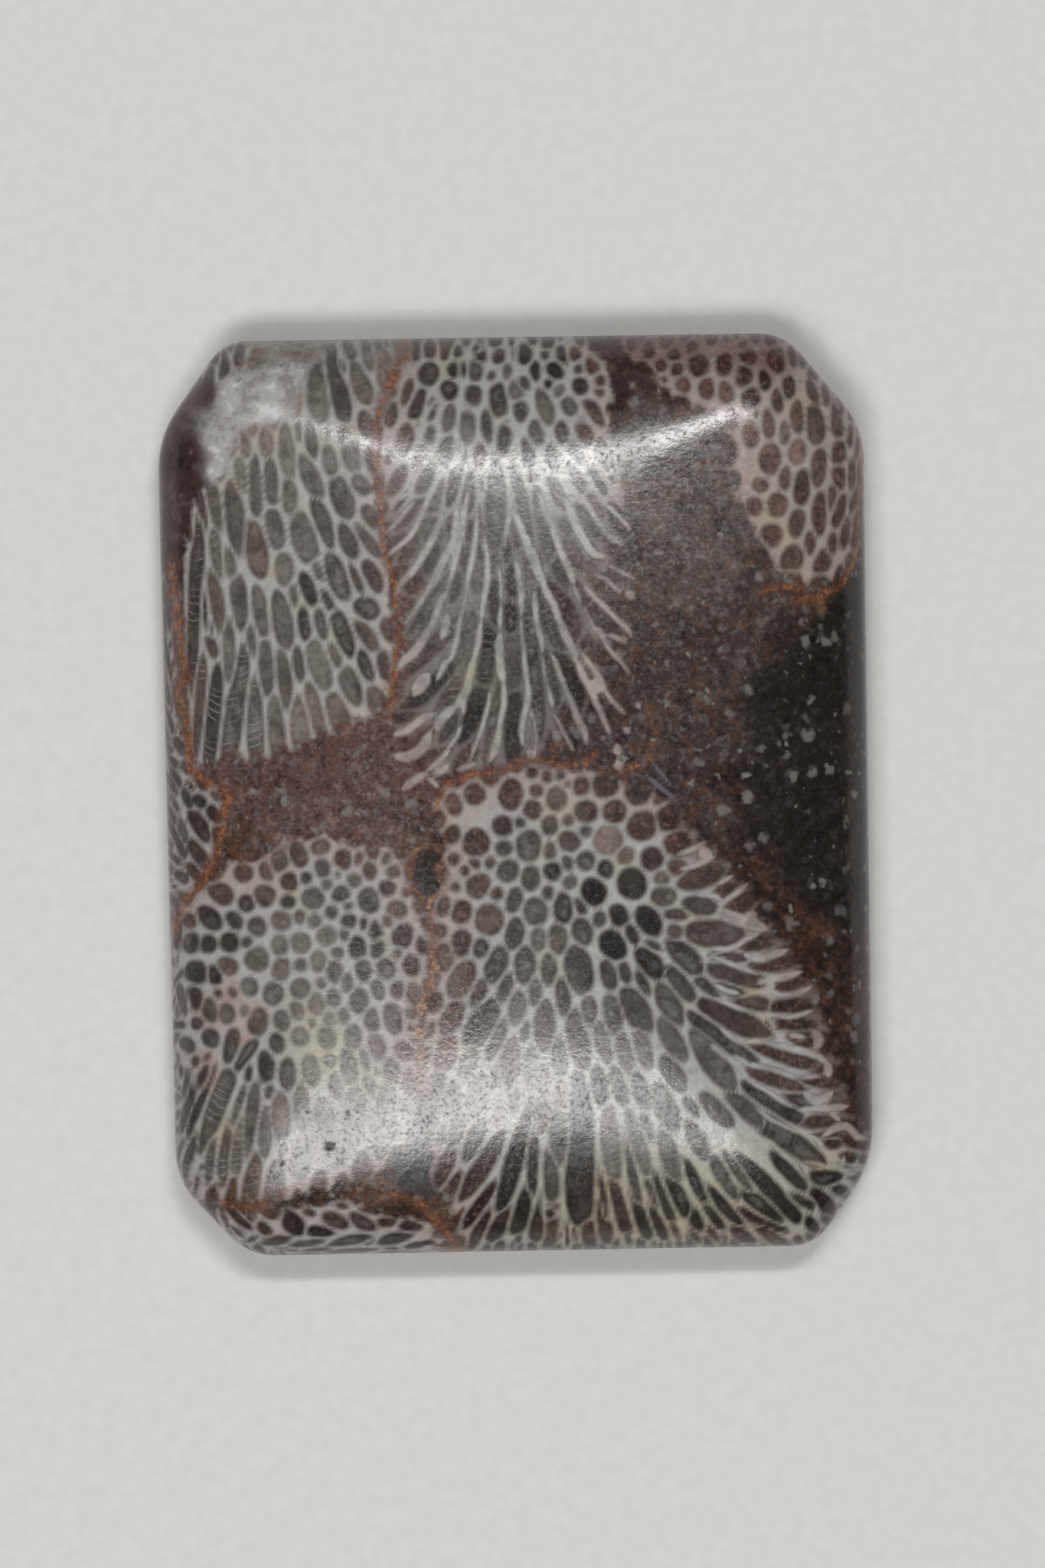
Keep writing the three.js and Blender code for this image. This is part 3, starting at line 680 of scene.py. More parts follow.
SAMPLE_SPACING = 0.16  # between the points that share the surface out among the tubes
SAMPLE_REACH = 0.9  # how far past the outline they are kept
SAMPLE_MARGIN = 1
MARK_SOFTNESS = 0.2  # added to the squared distance from a mark, so that it pulls gently near by
MARK_FALL = -1.5  # the power of that sum with which the pull of a mark falls
LEAST_CROWDING = 0.02
RELAXING_ROUNDS = 14
GAP_MARGIN = 0.1  # a gap between the marked tubes starts this far outside them
GAP_SHARE = 1.1  # how many tubes go into the gaps for each that should fit there
SIZE_SPREAD = ((-0.45, 0.3), (-0.08, 0.4), (0.18, 0.3))  # how much wider some are, and how often
LOW_PART = GIRDLE_TOP + 1.2  # under this height tubes are added where the marks' tubes don't reach,
UNCOVERED = 0.1  # until no point is farther outside them than this
OVAL_SLACK = 0.1  # how far a tube swells past its oval before its wall thickens instead,
LONG_SLACK = 0.02  # and how much more for each time that it is longer than wide,
LONG_LIMIT = 3  # up to this many times
ROUNDING = 10.0  # a higher number gives the tubes sharper corners
ROUNDING_LOSS = 0.09  # the depth that rounding the corners takes away
NEIGHBOURS = 6
LEAST_FALL = 0.35  # between two tubes, and
LEAST_STEEPNESS = 0.12  # at a tube's own side, so that grazing cuts don't give endless depths
SIZE_TRIM = 0.06  # what rounding the walls would add to a tube
LEAST_REACH_SQUARED = 1e-8
LEAST_LENGTH = 1e-6
CORNER_CUT = 0.25  # the share of a side that rounding an outline cuts off at each end
BATCH = 1500  # points that are set against all tubes at once


def linear(colour):
    """A colour in linear light, from its sRGB values."""
    value = np.asarray(colour, float) / 255
    return np.where(value <= 0.04045, value / 12.92, ((value + 0.055) / 1.055) ** 2.4)


def mixed(first, second, share):
    """The colours between two colours, one for each share."""
    first, second = np.asarray(first, float), np.asarray(second, float)
    return first + (second - first) * np.asarray(share)[:, None]


def rounded(corners, passes=2):
    """A closed outline with its corners cut again and again."""
    points = np.asarray(corners, float)
    for _ in range(passes):
        following = np.roll(points, -1, axis=0)
        near = points * (1 - CORNER_CUT) + following * CORNER_CUT
        far = points * CORNER_CUT + following * (1 - CORNER_CUT)
        points = np.stack([near, far], axis=1).reshape(-1, 2)
    return points


def segment_distance(x, y, start, end):
    """The distance to a straight line between two places, and how far along it that is."""
    run_x, run_y = end[0] - start[0], end[1] - start[1]
    length = run_x**2 + run_y**2 + TINY
    share = np.clip(((x - start[0]) * run_x + (y - start[1]) * run_y) / length, 0, 1)
    return np.hypot(x - start[0] - share * run_x, y - start[1] - share * run_y), share


def depth_inside(x, y, outline):
    """Distance to a closed outline, positive inside it."""
    nearest = np.full(x.shape, np.inf)
    inside = np.zeros(x.shape, bool)
    for start, end in zip(outline, np.roll(outline, -1, axis=0)):
        nearest = np.minimum(nearest, segment_distance(x, y, start, end)[0])
        if start[1] != end[1]:
            crossing = start[0] + (end[0] - start[0]) * (y - start[1]) / (end[1] - start[1])
            inside ^= ((start[1] > y) != (end[1] > y)) & (x < crossing)
    return np.where(inside, nearest, -nearest)


def growth(colony, x, y):
    """The tubes' direction on the plan, their stretch, half spacing and darkness at each point."""
    marks = np.asarray(colony["marks"], float)
    mark_x, mark_y, heading, stretch, spacing, dark = marks.T
    gap = (x[:, None] - mark_x) ** 2 + (y[:, None] - mark_y) ** 2 + MARK_SOFTNESS
    weight = gap**MARK_FALL
    weight /= weight.sum(axis=1, keepdims=True)
    # Twice the heading is averaged, because a tube looks the same from both ends.
    pull, twice = np.log(stretch), 2 * np.radians(heading)
    sine, cosine = weight @ (pull * np.sin(twice)), weight @ (pull * np.cos(twice))
    angle = np.arctan2(sine, cosine) / 2
    across, along = np.sin(angle), np.cos(angle)
    outwards = across * (x - colony["source"][0]) + along * (y - colony["source"][1])
    sign = np.where(outwards < 0, -1.0, 1.0)
    longer = np.exp(np.hypot(sine, cosine))
    return across * sign, along * sign, longer, weight @ spacing, weight @ dark


def tube_axes(x, y, across, along, stretch, slender):
    """The directions that tubes have if the surface cuts them this much longer than wide."""
    slope_x, slope_y = top_slopes(x, y)
    slope = np.arctan(slope_x * across + slope_y * along)
    level = (1 - (np.cos(slope) / stretch) ** 2) / slender
    lean = np.arccos(np.sqrt(np.clip(1 - level, 0, 1))) - slope
    return np.stack([across * np.sin(lean), along * np.sin(lean), np.cos(lean)], axis=1)


def tube_crowding(x, y, axis, spacing, slender):
    """How many tubes stand on a square millimetre of the plan."""
    slope_x, slope_y = top_slopes(x, y)
    along_x, along_y = axis[:, 0] + slope_x * axis[:, 2], axis[:, 1] + slope_y * axis[:, 2]
    form_xx = 1 + slope_x**2 - slender * along_x**2
    form_yy = 1 + slope_y**2 - slender * along_y**2
    form_xy = slope_x * slope_y - slender * along_x * along_y
    form = np.sqrt(np.maximum(form_xx * form_yy - form_xy**2, LEAST_CROWDING**2))
    return form / (2 * math.sqrt(3) * spacing**2)


class Tubes:
    """A colony's tubes as long ellipsoids in the stone, those of its growth marks first."""

    def __init__(self, colony):
        self.colony = colony
        self.slender = 1 - 1 / colony["longest"] ** 2
        x, y, heading, stretch, spacing, _ = np.asarray(colony["marks"], float).T
        heading = np.radians(heading)
        axis = tube_axes(x, y, np.sin(heading), np.cos(heading), stretch, self.slender)
        self.marked = (axis, spacing - SIZE_TRIM, stretch)
        self.mark_count = len(x)
        self.set(np.stack([x, y, top_height(x, y)], axis=1), *self.marked)

    def set(self, centre, axis, radius, stretch):
        self.centre, self.axis, self.radius, self.stretch = centre, axis, radius, stretch

    def place(self, centre, bonus):
        """Direction, size and stretch of random tubes that are this much wider than their marks."""
        x, y = centre[:, 0], centre[:, 1]
        across, along, stretch, spacing, _ = growth(self.colony, x, y)
        axis = tube_axes(x, y, across, along, stretch, self.slender)
        return axis, spacing * (1 + bonus) - SIZE_TRIM, stretch

    def place_all(self, centre, bonus):
        """Places every tube anew, where the first are the marks' own."""
        fresh = self.place(centre, bonus)
        for values, fixed in zip(fresh, self.marked):
            values[: self.mark_count] = fixed
        self.set(centre, *fresh)

    def relax(self, rng):
        """Spreads tubes round the marks until each has its share of the colony's surface."""
        outline = self.colony["edge"]
        low, high = outline.min(axis=0) - SAMPLE_MARGIN, outline.max(axis=0) + SAMPLE_MARGIN
        xs, ys = (np.arange(low[k], high[k], SAMPLE_SPACING) for k in range(2))
        x, y = (grid.ravel() for grid in np.meshgrid(xs, ys))
        x = x + rng.uniform(-0.5, 0.5, x.shape) * SAMPLE_SPACING
        y = y + rng.uniform(-0.5, 0.5, y.shape) * SAMPLE_SPACING
        kept = (depth_inside(x, y, outline) > -SAMPLE_REACH) & (inset(x, y) > 0)
        x, y = x[kept], y[kept]
        points = np.stack([x, y, top_height(x, y)], axis=1)
        across, along, stretch, spacing, _ = growth(self.colony, x, y)
        axis = tube_axes(x, y, across, along, stretch, self.slender)
        crowding = tube_crowding(x, y, axis, spacing, self.slender)
        crowding *= self.offsets(points)[0].min(axis=1) > SIZE_TRIM + GAP_MARGIN
        added = max(1, round(GAP_SHARE * crowding.sum() * SAMPLE_SPACING**2))
        odds = crowding / crowding.sum()
        start = points[rng.choice(len(x), added, replace=False, p=odds)]
        centre = np.concatenate([self.centre, start])
        count = len(centre)
        widths, odds = zip(*SIZE_SPREAD)
        bonus = rng.choice(widths, count, p=odds)
        for _ in range(RELAXING_ROUNDS):
            self.place_all(centre, bonus)
            owner = np.argmin(self.offsets(points)[0], axis=1)
            held = np.bincount(owner, minlength=count)
            shares = [np.bincount(owner, p, count) / np.maximum(held, 1) for p in (x, y)]
            middle = np.stack([*shares, top_height(*shares)], axis=1)
            moving = (held > 0) & (np.arange(count) >= self.mark_count)
            centre = np.where(moving[:, None], middle, centre)
        self.place_all(centre, bonus)

    def offsets(self, points, chosen=slice(None)):
        """How far each point lies outside each tube, and what the slope of that distance needs."""
        off = points[:, None, :] - self.centre[chosen]
        along = np.einsum("pck,ck->pc", off, self.axis[chosen])
        squared = (off**2).sum(axis=-1) - self.slender * along**2
        reach = np.sqrt(np.maximum(squared, LEAST_REACH_SQUARED))
        return reach - self.radius[chosen], off, along, reach

    def fill_rest(self, points, rng):
        """Adds tubes until none of these points is far outside all of them."""
        lacking = np.full(len(points), np.inf)
        for start in range(0, len(points), BATCH):
            part = slice(start, start + BATCH)
            lacking[part] = self.offsets(points[part])[0].min(axis=1)
        widths, odds = zip(*SIZE_SPREAD)
        while lacking.max() > UNCOVERED:
            farthest = points[[int(np.argmax(lacking))]]
            added = (farthest, *self.place(farthest, rng.choice(widths, 1, p=odds)))
            held = (self.centre, self.axis, self.radius, self.stretch)
            self.set(*(np.concatenate(pair) for pair in zip(held, added)))
            lacking = np.minimum(lacking, self.offsets(points, slice(-1, None))[0][:, 0])

    def section(self, points, normals):
        """What the surface shows of the tubes at each point.

        Returns the depth inside a tube from the middle of its wall, the distances along and
        across the tube, and which tube it is.
        """
        depth, along, across = (np.zeros(len(points)) for _ in range(3))
        owner = np.zeros(len(points), int)
        for start in range(0, len(points), BATCH):
            part = slice(start, start + BATCH)
            outside, off, run, reach = self.offsets(points[part])
            count = min(NEIGHBOURS, outside.shape[1])
            order = np.argpartition(outside, count - 1, axis=1)[:, :count]
            ranked = np.take_along_axis(outside, order, axis=1)
            order = np.take_along_axis(order, np.argsort(ranked, axis=1), axis=1)
            rows = np.arange(len(order))[:, None]
            axis, near, level = self.axis[order], off[rows, order], outside[rows, order]

            # How fast each tube's distance changes along the surface.
            facing = normals[part][:, None, :]
            slope = near - self.slender * run[rows, order][..., None] * axis
            slope /= reach[rows, order][..., None]
            slope -= facing * (slope * facing).sum(axis=-1, keepdims=True)

            # The walls lie halfway to the neighbours, and swell where an oval would end sooner.
            fall = np.linalg.norm(slope[:, 1:] - slope[:, :1], axis=-1)
            to_wall = (level[:, 1:] - level[:, :1]) / np.maximum(fall, LEAST_FALL)
            steep = np.maximum(np.linalg.norm(slope[:, 0], axis=-1), LEAST_STEEPNESS)
            longer = np.clip(self.stretch[order[:, 0]] - 1, 0, LONG_LIMIT)
            to_oval = (OVAL_SLACK + LONG_SLACK * longer - level[:, 0]) / steep
            limits = np.concatenate([to_wall, to_oval[:, None]], axis=1)
            depth[part] = ROUNDING_LOSS - np.log(np.exp(-ROUNDING * limits).sum(axis=1)) / ROUNDING
            owner[part] = order[:, 0]

            nearest, upright = axis[:, 0], facing[:, 0]
            flat = nearest - upright * (nearest * upright).sum(-1, keepdims=True)
            flat /= np.linalg.norm(flat, axis=-1, keepdims=True) + LEAST_LENGTH
            along[part] = (near[:, 0] * flat).sum(axis=-1)
            across[part] = (near[:, 0] * np.cross(upright, flat)).sum(axis=-1)
        return depth, along, across, owner


# ---------------------------------------------------------------- mudstone, crystals and seams

# The grounds between the colonies. Each has its dark, middle and light colours, how many pale grains
# and rusty veins it has and how gritty it is, and the places that it lies round, with its reach.
GROUNDS = {
    "speckled": dict(
        tones=((54, 48, 45), (82, 73, 68), (116, 107, 102)),
        habit=(0.32, 0.32, 1.0),
        places=((7.0, 13.5, 3.0), (7.5, 9.8, 2.6), (6.2, 15.6, 1.5)),
    ),
    "brown": dict(
        tones=((38, 32, 30), (60, 50, 47), (88, 78, 74)),
        habit=(0.3, 0.4, 1.0),
        places=(
            (6.5, 6.0, 2.2), (9.2, 6.6, 2.0), (6.3, 3.3, 1.6), (8.3, 2.0, 1.5), (8.2, -0.6, 1.0),
            (5.0, 11.0, 1.5), (10.6, 9.0, 1.2), (2.5, 2.0, 0.8),
        ),
    ),
    "red": dict(
        tones=((56, 38, 36), (87, 65, 61), (122, 100, 95)),
        habit=(0.35, 0.26, 1.0),
        places=(
            (-10.5, 0.6, 2.4), (-7.5, 0.0, 2.2), (-8.0, 2.3, 1.4), (-5.5, -0.8, 1.2), (-13.2, 1.3, 0.8),
            (-5.2, 8.0, 0.8), (-14.7, 8.0, 0.6), (-14.6, 4.5, 0.6), (-5.6, 14.0, 0.8),
        ),
    ),
    "black": dict(
        tones=((22, 19, 17), (32, 28, 26), (47, 42, 40)),
        habit=(0.19, 0.06, 0.8),
        places=(
            (13.2, 4.0, 2.6), (12.5, 0.0, 2.4), (13.8, -4.0, 1.8), (14.4, 7.5, 1.2), (11.5, -1.5, 1.2),
            (11.2, 4.0, 1.2),
        ),
    ),
    "rust": dict(
        tones=((27, 20, 18), (46, 32, 27), (74, 50, 41)),
        habit=(0.18, 0.33, 1.0),
        places=(
            (8.9, 0.6, 0.9), (14.0, -8.3, 1.5), (14.6, -11.5, 1.5), (11.3, -5.4, 1.0),
            (12.3, -6.6, 1.2), (15.2, -14.0, 1.0), (9.9, -3.4, 0.8), (-9.0, -17.3, 0.8),
            (-14.3, -17.5, 0.6), (-5.2, -18.0, 0.6),
        ),
    ),
    "oxide": dict(
        tones=((38, 26, 25), (58, 41, 39), (84, 66, 63)),
        habit=(0.05, 0.05, 0.6),
        places=(
            (-14.6, 15.0, 1.5), (-14.6, 12.4, 1.3), (-14.5, 10.4, 0.5), (-14.0, 13.4, 0.9),
            (-14.5, 16.8, 0.9), (5.6, 18.2, 1.3), (7.2, 17.4, 0.9), (4.6, 17.0, 0.6),
            (-13.3, 17.7, 0.8), (-11.0, 18.9, 0.2),
        ),
    ),
    "crystal": dict(
        tones=((142, 139, 135), (172, 170, 167), (204, 204, 203)),
        habit=(0.0, 0.0, 0.1),
        places=(
            (-12.4, 15.8, 1.1), (-11.8, 17.2, 1.3), (-10.0, 17.6, 1.1), (-12.7, 14.2, 0.6),
            (-9.6, 18.6, 0.7),
        ),
    ),
    "grey": dict(
        tones=((60, 53, 52), (90, 81, 79), (124, 118, 116)),
        habit=(0.2, 0.1, 0.6),
        places=((-13.6, 18.0, 0.5), (-13.6, 14.4, 0.3)),
    ),
    "slate": dict(
        tones=((54, 53, 53), (70, 69, 69), (88, 87, 87)),
        habit=(0.0, 0.0, 0.1),
        places=((-4.85, -16.35, 0.75),),
    ),
    "dusty": dict(
        tones=((92, 83, 74), (124, 117, 108), (150, 146, 138)),
        habit=(0.05, 0.35, 0.5),
        places=((-11.2, 19.4, 0.9), (-9.4, 19.6, 0.9), (-10.2, 19.0, 0.4)),
    ),
    "ochre": dict(
        tones=((46, 32, 25), (72, 53, 43), (112, 92, 78)),
        habit=(0.34, 0.45, 1.0),
        places=(
            (-6.5, -17.4, 1.2), (-12.5, -17.7, 0.7), (-3.2, -18.6, 0.8), (-12.2, -1.8, 0.9),
            (-4.3, -1.8, 0.9), (12.8, 8.5, 0.9), (10.4, 12.6, 0.6),
        ),
    ),
}

# Seams of iron stain: kind, half width, and the places that the seam runs through.
SEAMS = (
    ("orange", 0.24, ((-4.5, 20.2), (-4.6, 19.0), (-5.1, 18.0), (-5.5, 17.2))),
    ("orange", 0.1, (
        (-5.5, 17.2), (-5.85, 16.0), (-5.8, 14.5), (-5.65, 12.5), (-5.6, 11.0), (-5.4, 10.0),
        (-5.1, 9.0), (-5.0, 8.0), (-4.95, 7.2), (-5.05, 6.4), (-5.2, 5.5), (-5.25, 4.4), (-5.45, 3.4),
    )),
    ("orange", 0.15, (
        (-14.85, 10.4), (-14.85, 9.2), (-14.7, 8.3), (-14.6, 7.4), (-14.45, 6.4), (-14.3, 5.6),
        (-14.6, 4.6), (-14.35, 3.6), (-14.25, 2.8), (-14.2, 1.9), (-14.1, 1.3), (-13.7, 0.8),
        (-12.6, 0.3),
    )),
    ("orange", 0.15, (
        (-12.4, 0.3), (-12.6, -0.4), (-12.8, -1.3), (-13.0, -2.2), (-13.4, -3.0), (-13.75, -3.7),
        (-14.3, -4.2), (-14.7, -5.0), (-15.2, -5.9),
    )),
    ("orange", 0.11, (
        (-3.5, -0.6), (-3.2, 0.2), (-2.9, 0.55), (-2.2, 0.8), (-1.4, 0.9), (-0.7, 0.95), (0.0, 1.25),
        (0.8, 1.45), (1.6, 1.3), (2.4, 1.15), (3.0, 1.3), (3.5, 1.7),
    )),
    ("orange", 0.08, ((3.6, 0.85), (4.6, 0.85), (5.3, 1.1), (5.9, 1.6))),
    ("pink", 0.12, (
        (-3.85, -4.6), (-3.8, -5.5), (-3.7, -6.3), (-3.65, -7.2), (-3.8, -8.0), (-4.2, -8.8),
        (-4.4, -9.6), (-4.4, -11.0), (-4.35, -12.6),
    )),
    ("orange", 0.07, ((10.6, 8.5), (11.3, 8.7), (12.0, 8.75), (12.5, 8.6))),
    ("orange", 0.15, ((12.4, 8.1), (12.8, 8.2), (13.3, 8.2), (13.3, 7.8))),
    ("orange", 0.1, (
        (13.4, 8.4), (14.2, 8.8), (14.7, 9.6), (15.05, 10.5), (15.1, 12.0), (15.25, 13.5),
        (15.35, 15.0),
    )),
    ("orange", 0.16, ((-2.9, -19.9), (-3.3, -19.2), (-3.9, -18.4), (-4.6, -17.6))),
    ("orange", 0.06, ((-4.6, -17.6), (-5.6, -17.3), (-6.6, -17.4))),
    ("orange", 0.05, (
        (-9.6, -16.7), (-10.4, -17.1), (-11.2, -17.6), (-12.2, -17.8), (-13.3, -17.5),
    )),
    ("ring", 0.08, (
        (-4.1, -2.2), (-3.3, -2.6), (-3.5, -3.4), (-3.1, -4.0), (-3.8, -4.55), (-4.7, -4.0),
        (-4.8, -3.2), (-4.6, -2.5), (-4.1, -2.2),
    )),
)
SEAM_COLOURS = {"orange": (140, 92, 64), "pink": (160, 122, 98), "ring": (118, 88, 68)}
